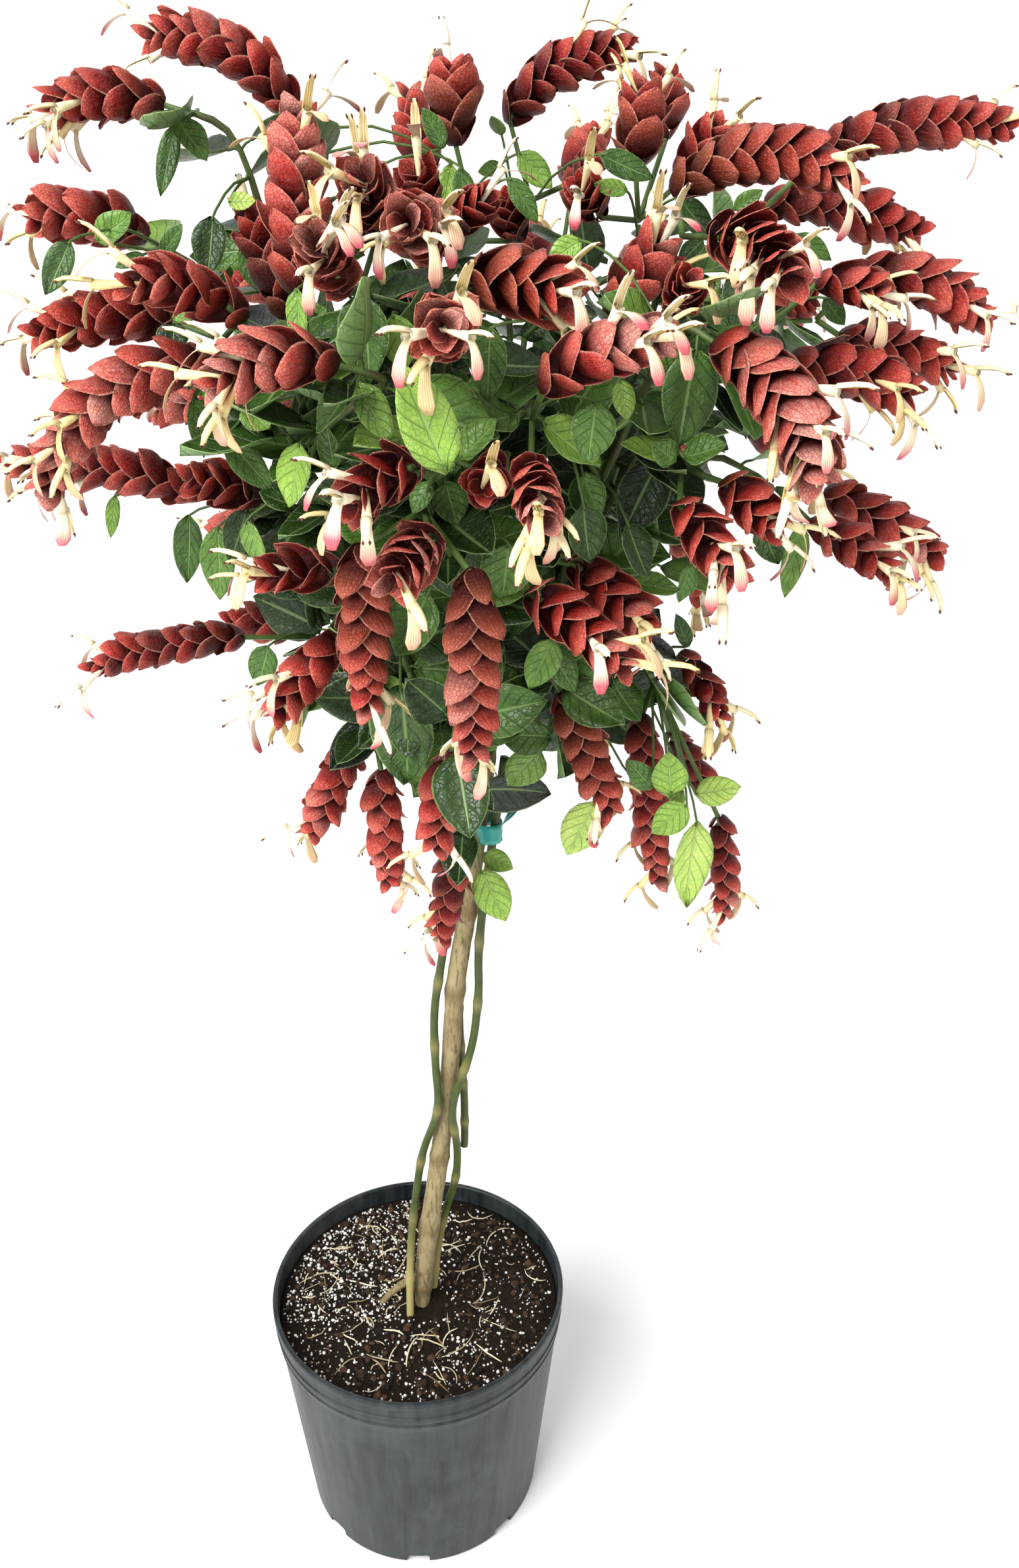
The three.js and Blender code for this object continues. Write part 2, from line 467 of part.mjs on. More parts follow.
function routeTwig(bough, bunch, order) {
  let best = null;
  for (const reach of [0, 25, 50, 80]) {
    for (const close of [0.35, 0.2]) {
      for (const from of order) {
        for (let i = 0; i < (reach ? 6 : 1); i += 1) {
          const turn = (i * Math.PI) / 3;
          const push = v([reach * Math.cos(turn), reach * Math.sin(turn), reach * 0.3]);
          const route = twigRoute(bough, bunch, from, push, close);
          const points = [];
          for (let k = 1; k < 24; k += 1) points.push(pointOn(route, k / 24));
          const clear = points.filter((point) => point.distanceTo(bunch.at) > 7);
          const space = spaceAround(clear, bough.name) - stem.twigRadius;
          if (!best || space > best.space) best = { space, route };
          if (space > clearance.twig) return best;
        }
      }
    }
  }
  return best;
}

// Where on the main stem the twigs of a bough may leave, first choices first; its first twig goes on
// from the main stem's end.
const forks = [[1], [0.7, 0.5, 0.9], [0.5, 0.3, 0.7], [0.3, 0.9, 0.5]];
for (const bough of boughs) {
  for (const [i, name] of bough.carries.entries()) {
    const bunch = bunches.find((one) => one.name === name);
    const { route } = routeTwig(bough, bunch, forks[i]);
    bough.twigs.push(route);
    for (let k = 0; k < 24; k += 1) addBall(pointOn(route, k / 24), stem.twigRadius, bough.name, 'stem');
  }
}

// Open flowers stand out of the front half of a spike and keep clear of everything else.
function flowerAt(spike, t, turn, length) {
  const root = spike.axis.getPoint(t);
  const ahead = spike.axis.getTangent(t);
  const [right, up] = sideways(ahead);
  const out = right.multiplyScalar(Math.cos(turn)).addScaledVector(up, Math.sin(turn));
  const lean = along(ahead.clone().multiplyScalar(flower.ahead), out, flower.lean).normalize();
  const side = crossed(lean, Math.abs(lean.z) < 0.95 ? v([0, 0, 1]) : v([0, 1, 0]));
  const rise = crossed(side, lean);
  const throat = along(root, lean, girthAt(spike, t) + length * flower.tube);
  const upper = along(along(throat, lean, length * flower.upperReach), rise, length * flower.upperRise);
  const lower = along(along(throat, lean, length * flower.lowerReach), rise, -length * flower.droop);
  return { root, throat, upper, lower, lean, side };
}

function flowerPoints(one) {
  return [one.throat, one.upper, one.lower, one.root.clone().lerp(one.throat, 0.72),
    one.throat.clone().lerp(one.upper, 0.5), one.throat.clone().lerp(one.lower, 0.5)];
}

function apartFrom(made, others) {
  const tips = (one) => [one.throat, one.upper, one.lower];
  const taken = others.flatMap(tips);
  return tips(made).every((tip) => taken.every((other) => tip.distanceTo(other) > clearance.flowersApart));
}

const flowerRandom = draws(2024);
for (const bunch of bunches) {
  bunch.flowers = [];
  for (const spike of bunch.parts) {
    for (let i = 0; i < spike.flowers; i += 1) {
      const t = 0.9 - 0.55 * (i / Math.max(4, spike.flowers)) - 0.05 * flowerRandom();
      const first = 2.4 * i + 6.28 * flowerRandom();
      const length = flower.length * (0.85 + 0.25 * flowerRandom());
      for (let k = 0; k < 9; k += 1) {
        const made = flowerAt(spike, t, first + k * 0.7, length);
        if (spaceAround(flowerPoints(made), bunch.name) < clearance.flower) continue;
        if (!apartFrom(made, bunch.flowers)) continue;
        made.kept = i === 0 || (i % 2 === 0 && spike.tip.y < 80);
        bunch.flowers.push(made);
        break;
      }
    }
  }
  for (const made of bunch.flowers) {
    for (const point of flowerPoints(made)) addBall(point, held.flower, bunch.name, 'flower');
  }
}

// ---------- Leaves ----------
// A leaf's frame: foot, tip, the direction its face looks, and its arch.
function leafFrame(foot, tip, width, face) {
  const ahead = toward(foot, tip);
  const right = crossed(ahead, face);
  const up = crossed(right, ahead);
  return { foot, ahead, right, up, width, length: foot.distanceTo(tip) };
}

// Three corners about a point of a leaf's stalk, square to a heading.
function stalkRing(one, centre, heading, size) {
  const right = along(one.right, heading, -one.right.dot(heading)).normalize();
  const up = crossed(right, heading);
  return [[-leaf.stalk, -0.6], [leaf.stalk, -0.6], [0, 0.9]].map(([side, lift]) =>
    along(along(centre, right, side * size), up, lift * size));
}

function leafPoint(one, u, side, lift) {
  const fold = leaf.keel * one.width * (1 - Math.abs(side)) * 4 * u * (1 - u);
  const point = along(one.foot, one.ahead, one.length * u);
  point.addScaledVector(one.right, side * 0.5 * one.width);
  return point.addScaledVector(one.up, lift - leaf.arch * one.length * u * u - fold);
}

const leafGrid = [[0.12, 0], [0.35, 0], [0.6, 0], [0.85, 0], [1, 0], [0.25, 0.9], [0.25, -0.9],
  [0.62, 0.82], [0.62, -0.82], [0.84, 0.4], [0.84, -0.4], [0.44, 0.95], [0.44, -0.95]];
const leafPoints = (one) => leafGrid.map(([u, side]) => leafPoint(one, u, side, 0));
const leafRoom = { spike: 2, stem: 3, flower: 5.5, leaf: 7 };
const outward = (point) => toward(v([66, 20, 880]), point).add(v([0, -0.1, 0.75])).normalize();

// A leaf keeps its outer half clear of the bough's other leaves and of its own stems.
function clearOfOwn(bough, one) {
  const outer = leafPoints(one).slice(2);
  const own = balls.filter((ball) => ball.owner === bough.name);
  return own.every((ball) => {
    const room = ball.radius + (ball.kind === 'leaf' ? clearance.ownLeaf : clearance.ownStem);
    return outer.every((point) => point.distanceTo(ball.centre) > room);
  });
}

function keepLeaf(bough, one) {
  bough.leaves.push(one);
  for (const point of leafPoints(one)) addBall(point, held.leaf, bough.name, 'leaf');
}

// The nearest point of a bough from which a straight stalk reaches a foot and touches nothing.
function findShoot(foot, ahead) {
  const starts = [];
  for (const bough of boughs) {
    for (const route of [bough.route, ...bough.twigs]) {
      for (let i = 3; i < 37; i += 1) {
        const point = pointOn(route, i / 40);
        const used = bough.leaves.filter((one) => one.from.distanceTo(point) < 5).length;
        starts.push({ bough, point, cost: point.distanceTo(foot) + 25 * used });
      }
    }
  }
  starts.sort((a, b) => a.cost - b.cost);
  for (const { bough, point } of starts.slice(0, 120)) {
    if (toward(point, foot).dot(ahead) < -0.1) continue;
    const points = [];
    for (let k = 1; k <= 12; k += 1) points.push(point.clone().lerp(foot, k / 12));
    if (spaceAround(points, bough.name, { leaf: 3, flower: 2.5 }) < clearance.stalk) continue;
    const beyond = points.filter((one) => one.distanceTo(point) > 8);
    const own = balls.filter((ball) => ball.owner === bough.name && ball.centre.distanceTo(point) > 7);
    const free = (ball) => beyond.every((one) =>
      one.distanceTo(ball.centre) > ball.radius + clearance.ownTwig);
    if (own.every(free)) return { bough, point };
  }
  return null;
}

for (const bough of boughs) bough.leaves = [];
for (const [fx, fy, fz, tx, ty, tz, width] of chosenLeaves) {
  for (const shift of [0, 8, -8, 16, -16, 26, -26, 38, -38]) {
    const foot = v([fx, fy + shift, fz]);
    const tip = v([tx, ty + shift, tz]);
    const one = leafFrame(foot, tip, width, outward(tip));
    const shoot = findShoot(foot, one.ahead);
    if (!shoot || spaceAround(leafPoints(one), shoot.bough.name, leafRoom) < clearance.leaf) continue;
    if (!clearOfOwn(shoot.bough, one)) continue;
    one.from = shoot.point;
    keepLeaf(shoot.bough, one);
    for (let k = 0; k <= 6; k += 1) {
      addBall(shoot.point.clone().lerp(foot, k / 6), held.shoot, shoot.bough.name, 'stem');
    }
    break;
  }
}

// The other leaves stand in pairs along the twigs, each pair square to the one before it.
const leafRandom = draws(ruledLeaves.seed);
for (const bough of boughs) {
  for (const route of bough.twigs) {
    for (let i = 0; i < bough.pairs; i += 1) {
      const share = 0.45 + (0.45 * i) / bough.pairs;
      const from = pointOn(route, share);
      const heading = headingOn(route, share);
      const [right, up] = sideways(heading);
      for (const half of [0, 1]) {
        const turn = i * 1.57 + half * Math.PI + 0.5 * leafRandom();
        const length = ruledLeaves.length * (0.75 + 0.5 * leafRandom());
        const width = (ruledLeaves.width / ruledLeaves.length) * length;
        for (let k = 0; k < 5; k += 1) {
          const roll = turn + k * 0.5;
          const out = right.clone().multiplyScalar(Math.cos(roll)).addScaledVector(up, Math.sin(roll));
          const aim = along(out, heading, 0.4).add(v([0, 0, -0.25])).normalize();
          const foot = along(from, aim, leaf.shortStalk);
          const one = leafFrame(foot, along(from, aim, length), width, outward(from));
          one.from = from;
          if (spaceAround(leafPoints(one), bough.name, leafRoom) < clearance.leaf) continue;
          if (!clearOfOwn(bough, one)) continue;
          keepLeaf(bough, one);
          break;
        }
      }
    }
  }
}

// ---------- Plant solids ----------
// Corners round a point, square to a heading; the odd corners may have a reach of their own.
function corners(centre, heading, reach, oddReach = reach) {
  const [right, up] = sideways(heading);
  return Array.from({ length: bract.sides }, (_, j) => {
    const turn = ((j + 0.5) * 2 * Math.PI) / bract.sides;
    const size = j % 2 ? oddReach : reach;
    return along(along(centre, right, size * Math.cos(turn)), up, size * Math.sin(turn));
  });
}

// Where a spike's stalk sets off, beside the end of the twig that feeds its bunch.
function stalkFoot(bunch, heading) {
  const lean = Math.sqrt(Math.max(0, 1 - heading.dot(bunch.lead) ** 2));
  return along(bunch.at, bunch.lead, gap + stem.stalk * lean - stem.room);
}

// Bracts overlap in ranks: a row's high corners are pushed forward over the roots of the next row.
function spikeSolid(spike, bunch) {
  const rows = Math.max(bract.fewest, Math.round(spike.axis.getLength() / bract.spacing));
  const step = spike.axis.getLength() / rows;
  const rings = [];
  if (bunch.joint) {
    const heading = toward(bunch.at, spike.base);
    const foot = stalkFoot(bunch, heading);
    rings.push(corners(foot, heading, stem.stalk), corners(spike.base, heading, stem.stalk));
  }
  for (let k = 0; k < rows; k += 1) {
    const t = mix(bract.first, bract.last, k / (rows - 1));
    const ahead = spike.axis.getTangent(t);
    const girth = girthAt(spike, Math.min(1, t + 0.08));
    const [high, low] = [bract.crest * girth, bract.valley * girth];
    const odd = k % 2;
    const ring = corners(spike.axis.getPoint(t), ahead, odd ? low : high, odd ? high : low);
    rings.push(ring.map((point, j) => along(point, ahead, j % 2 === odd ? bract.push * step : 0)));
  }
  const points = rings.flat();
  const tip = points.push(along(spike.tip, spike.axis.getTangent(1), bract.point * step)) - 1;
  if (!bunch.joint) points.push(spike.base.clone());
  const n = bract.sides;
  const faces = bunch.joint ? [[0, 2, 1], [0, 3, 2]] : [];
  for (let j = 0; j < n; j += 1) {
    const next = (j + 1) % n;
    if (!bunch.joint) faces.push([tip + 1, next, j]);
    faces.push([tip, tip - n + j, tip - n + next]);
    for (let a = j, b = next, k = 0; a < tip - n; a += n, b += n, k += 1) {
      if ((j + k) % 2 === 0) faces.push([a, b, a + n], [b, b + n, a + n]);
      else faces.push([a, b, b + n], [a, b + n, a + n]);
    }
  }
  return fromPoints(points, faces);
}

// A two-lipped flower: a slim tube that opens into an upper lip and a hanging lower lip.
function flowerSolid(one) {
  const corner = (reach) => along(one.throat, one.side, reach);
  const mouth = along(one.throat, one.lean, flower.mouth * flower.length);
  const points = [one.root, corner(flower.throat), corner(-flower.throat), one.upper, one.lower, mouth];
  return fromPoints(points, [[0, 3, 1], [0, 2, 3], [0, 1, 4], [0, 4, 2],
    [1, 3, 5], [3, 2, 5], [4, 1, 5], [2, 4, 5]]);
}

function bunchSolid(bunch) {
  const open = bunch.flowers.filter((one) => one.kept);
  return fuse([...bunch.parts.map((spike) => spikeSolid(spike, bunch)), ...open.map(flowerSolid)]);
}

// A blade with a keel and an arch, thickest at its rib, on a short foot or a long slim stalk.
function leafSolid(one) {
  const at = (u, side, lift) => leafPoint(one, u, side, lift);
  const reach = toward(one.from, one.foot);
  const points = [...stalkRing(one, one.foot, reach, 1), at(0.28, 0.95, 0), at(0.62, 0.85, 0), at(1, 0, 0),
    at(0.62, -0.85, 0), at(0.28, -0.95, 0), at(0.45, 0, leaf.half), at(0.45, 0, -leaf.half)];
  const faces = [[8, 2, 3], [8, 3, 4], [8, 4, 5], [8, 5, 6], [8, 6, 7], [8, 7, 2], [2, 1, 3], [2, 7, 0],
    [9, 1, 0], [9, 3, 1], [9, 4, 3], [9, 5, 4], [9, 6, 5], [9, 7, 6], [9, 0, 7]];
  for (const [p, q] of [[0, 1], [1, 2], [2, 0]]) faces.push([p, q, 10 + q], [p, 10 + q, 10 + p]);
  points.push(...stalkRing(one, one.from, reach, leaf.stalkFoot));
  return fromPoints(points, [...faces, [10, 11, 12]]);
}

function boughSolid(bough) {
  const [first, ...others] = bough.twigs;
  const route = [...bough.route, ...first.slice(1)];
  const main = limb(route, (t) => mix(stem.boughRadius, stem.twigTip, t), 4);
  const twigs = others.map((twig) => limb(twig, (t, k) =>
    (k ? mix(stem.twigRadius, stem.twigTip, t) : stem.twigFoot), 3));
  return fuse([main, ...twigs, ...bough.leaves.map(leafSolid)]);
}

// ---------- Trunk, stems, tie, soil and pot ----------
const trunkCurve = new THREE.CatmullRomCurve3(trunk.route.map(v));

// Point of the trunk's axis at a height.
function trunkAt(height) {
  let low = 0;
  let high = 1;
  for (let i = 0; i < 30; i += 1) {
    const middle = (low + high) / 2;
    if (trunkCurve.getPoint(middle).z < height) low = middle;
    else high = middle;
  }
  return trunkCurve.getPoint(low);
}

function trunkSolid(grow) {
  const points = trunkCurve.getPoints(trunk.steps);
  const ringAt = (k) => (k % trunk.ringEvery === 0 ? trunk.ringSwell : 0);
  const body = limb(points, (t, k) => readTable(trunk.radii, points[k].z) + ringAt(k) + grow, trunk.sides);
  const rootPoints = new THREE.CatmullRomCurve3(root.route.map(v)).getPoints(4);
  const surfaceRoot = limb(rootPoints, (t) => mix(root.thick, root.thin, t) + grow, root.sides);
  if (grow) return fuse([body, surfaceRoot]);
  return fuse([body, surfaceRoot, toSolid(knob.clone())]);
}

// A twining stem winds about the trunk's axis.
function twinerRoute(winding) {
  const points = [];
  const [bottom, top] = [winding[0][0], winding[winding.length - 1][0]];
  for (let k = 0; k <= twining.steps; k += 1) {
    const height = mix(bottom, top, k / twining.steps);
    const turn = THREE.MathUtils.degToRad(readTable(winding, height));
    const reach = readTable(winding, height, 2);
    points.push(trunkAt(height).add(v([reach * Math.cos(turn), reach * Math.sin(turn), 0])));
  }
  return points;
}

function twinerSolid(winding, grow) {
  const knotAt = (k) => ((k + winding[0][1]) % twining.knotEvery === 0 ? twining.knot : 0);
  return limb(twinerRoute(winding), (t, k) => twining.radius + knotAt(k) + grow, twining.sides);
}

function tieSolid() {
  const centre = trunkAt(tie.height);
  const half = tie.width / 2;
  const outer = tie.inner + tie.thickness;
  const profile = [[tie.inner, -half], [outer, -half], [outer, half], [tie.inner, half], [tie.inner, -half]];
  const ring = new THREE.LatheGeometry(profile.map(([x, y]) => new THREE.Vector2(x, y)), 14);
  ring.rotateX(Math.PI / 2 + 0.08).translate(centre.x, centre.y, centre.z);
  const ribbon = new THREE.Shape([[-0.5, -0.5], [0.5, -0.5], [0.5, 0.5], [-0.5, 0.5]].map(([x, y]) =>
    new THREE.Vector2(x * tie.tailThickness, y * tie.tailWidth)));
  const tail = new THREE.ExtrudeGeometry(ribbon, {
    steps: 7, bevelEnabled: false, extrudePath: new THREE.CatmullRomCurve3(tieTail.map(v)),
  });
  return fuse([toSolid(ring), toSolid(tail)]);
}

// Lathe about the upright axis from [radius, height] rows.
function turned(rows, sides) {
  const geometry = new THREE.LatheGeometry(rows.map(([r, z]) => new THREE.Vector2(r, z)), sides);
  return geometry.rotateX(Math.PI / 2);
}

const wallAt = (z) => mix(pot.baseRadius, pot.rimRadius - pot.bandStep, z / (pot.height - pot.bandHeight));

function potSolid() {
  const bandFoot = pot.height - pot.bandHeight;
  const bandTop = pot.height - pot.lipHeight;
  const outside = [[0, 0], [pot.baseRadius - 2, 0], [wallAt(2.5), 2.5], [wallAt(bandFoot - 7), bandFoot - 7],
    [wallAt(bandFoot - 7) + 1.6, bandFoot - 4], [wallAt(bandFoot), bandFoot],
    [pot.rimRadius - 2, bandFoot + 1], [pot.rimRadius - 1.4, bandTop],
    [pot.rimRadius, bandTop + 1.5], [pot.rimRadius, pot.height - 1]];
  const inside = [[pot.rimRadius - 1.2, pot.height], [pot.rimRadius - 4.4, pot.height - 0.4],
    [wallAt(bandFoot) - pot.wall - 1, bandFoot - 3],
    [wallAt(pot.floor) - pot.wall, pot.floor], [0, pot.floor]];
  let body = outwards(turned([...outside, ...inside], pot.sides));
  for (let i = 0; i < pot.notchCount; i += 1) {
    const notch = new THREE.BoxGeometry(pot.notchDepth, pot.notchWidth, pot.notchHeight * 2);
    notch.translate(pot.baseRadius, 0, 0).rotateZ((i / pot.notchCount) * 2 * Math.PI - Math.PI / 2);
    body = body.subtract(toSolid(notch));
  }
  return body;
}

// Height of the soil over its mean level, gently uneven.
function soilSwell(x, y) {
  return soil.swell * (0.5 * Math.sin(x / 17 + 1) * Math.cos(y / 21) + 0.35 * Math.sin((x + y) / 11));
}

function soilSolid(holes) {
  const inner = (z) => wallAt(z) - pot.wall - soil.shrink - gap;
  const foot = pot.floor + gap;
  const rows = [[0, foot], [inner(pot.floor), foot], [inner(soil.shoulder), soil.shoulder]];
  for (const radius of [soil.radius, 102, 70, 36, 0]) rows.push([radius, soil.level]);
  const geometry = turned(rows, soil.sides);
  const place = geometry.attributes.position;
  for (let i = 0; i < place.count; i += 1) {
    const [x, y, z] = [place.getX(i), place.getY(i), place.getZ(i)];
    const inland = Math.min(1, (soil.radius - Math.hypot(x, y)) / 12);
    if (z > soil.level - 1) place.setZ(i, z + Math.max(0, inland) * soilSwell(x, y));
  }
  return holes.reduce((left, hole) => left.subtract(hole), outwards(geometry));
}

// ---------- The plant ----------
const plant = new THREE.Group();

function addPiece(name, solid, hex, roughness) {
  const material = new THREE.MeshStandardMaterial({ color: hex, roughness, metalness: 0 });
  const mesh = new THREE.Mesh(toGeometry(solid), material);
  mesh.name = name;
  plant.add(mesh);
}

addPiece('pot', potSolid(), colour.pot, 0.55);
const holes = [trunkSolid(gap)];
for (const winding of Object.values(windings)) holes.push(twinerSolid(winding, gap));
addPiece('soil', soilSolid(holes), colour.soil, 0.95);
addPiece('trunk', trunkSolid(0), colour.bark, 0.85);
for (const [name, winding] of Object.entries(windings)) {
  addPiece(name, twinerSolid(winding, 0), colour.green, 0.7);
}
addPiece('tie_ribbon', tieSolid(), colour.tie, 0.4);
for (const bough of boughs) addPiece(bough.name, boughSolid(bough), colour.leaf, 0.55);
for (const bunch of bunches) addPiece(bunch.name, bunchSolid(bunch), colour.bract, 0.6);

export default plant;
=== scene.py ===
from math import atan2, cos, hypot, pi, radians, sin, sqrt

import bpy
import numpy as np
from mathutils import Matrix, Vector, noise


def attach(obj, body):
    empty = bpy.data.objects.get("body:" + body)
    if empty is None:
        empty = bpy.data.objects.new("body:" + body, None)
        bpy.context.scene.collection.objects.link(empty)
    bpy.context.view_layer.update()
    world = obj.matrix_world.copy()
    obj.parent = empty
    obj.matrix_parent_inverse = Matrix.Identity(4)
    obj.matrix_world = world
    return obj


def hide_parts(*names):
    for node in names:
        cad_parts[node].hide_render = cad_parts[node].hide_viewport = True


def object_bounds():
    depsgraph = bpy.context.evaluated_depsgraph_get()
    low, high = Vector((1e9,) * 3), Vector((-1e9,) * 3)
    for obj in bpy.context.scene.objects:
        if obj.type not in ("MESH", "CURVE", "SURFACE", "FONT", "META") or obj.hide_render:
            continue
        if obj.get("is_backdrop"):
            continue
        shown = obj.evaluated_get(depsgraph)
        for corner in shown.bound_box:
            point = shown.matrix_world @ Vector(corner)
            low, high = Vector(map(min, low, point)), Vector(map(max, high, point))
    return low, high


# Shrimp plant grown as a small standard tree in a nursery pot.
# The growth plan below is in millimetres, as in the part's own source; meshes are in metres.
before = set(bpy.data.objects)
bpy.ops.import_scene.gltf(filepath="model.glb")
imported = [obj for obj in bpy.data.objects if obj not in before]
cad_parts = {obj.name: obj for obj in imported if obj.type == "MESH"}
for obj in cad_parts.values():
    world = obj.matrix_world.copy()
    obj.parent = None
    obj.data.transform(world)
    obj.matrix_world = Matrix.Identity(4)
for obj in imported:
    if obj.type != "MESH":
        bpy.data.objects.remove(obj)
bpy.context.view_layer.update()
bpy.ops.object.select_all(action="DESELECT")
print("frame loaded")

gap = 0.35  # mm between parts that touch
view = {"spot": (80, -825, 1075), "pitch": 24.3, "focal": 1900, "imageHeight": 2380, "sensor": 36}
hub = {"centre": (66, 0, 752), "radius": 17, "room": 0.75}
crown = {"centre": (66, 20, 880), "rise": (0, -0.1, 0.75)}
stem = {"twigRadius": 2.2, "room": 2.4, "stalk": 1.8, "boughSteps": 5, "twigSteps": 4}
twig = {"pushes": (0, 25, 50, 80), "closes": (0.35, 0.2), "forward": 1.4, "handle": 0.3, "neck": 0.22,
        "ownEnd": 7}
flower = {"length": 33, "ahead": 0.8, "lean": 0.62, "tube": 0.4, "upperReach": 0.5, "upperRise": 0.12,
          "lowerReach": 0.22, "droop": 0.34, "seed": 2024}
clearance = {"twig": 0.8, "flower": 2.2, "flowersApart": 6, "stalk": 1.6, "leaf": 0.5, "ownLeaf": 2.5,
             "ownStem": 1.5}
roomOf = {"bractEdge": 1.5, "stalk": 2.5, "tie": 5, "trunk": 20, "bough": 3.4, "flower": 2.6, "leaf": 2.6,
          "leafStalk": 1.6, "filler": 2.0}
leaf = {"keel": 0.13, "arch": 0.14, "shortStalk": 7}
ruledLeaves = {"length": 44, "width": 20, "seed": 77}

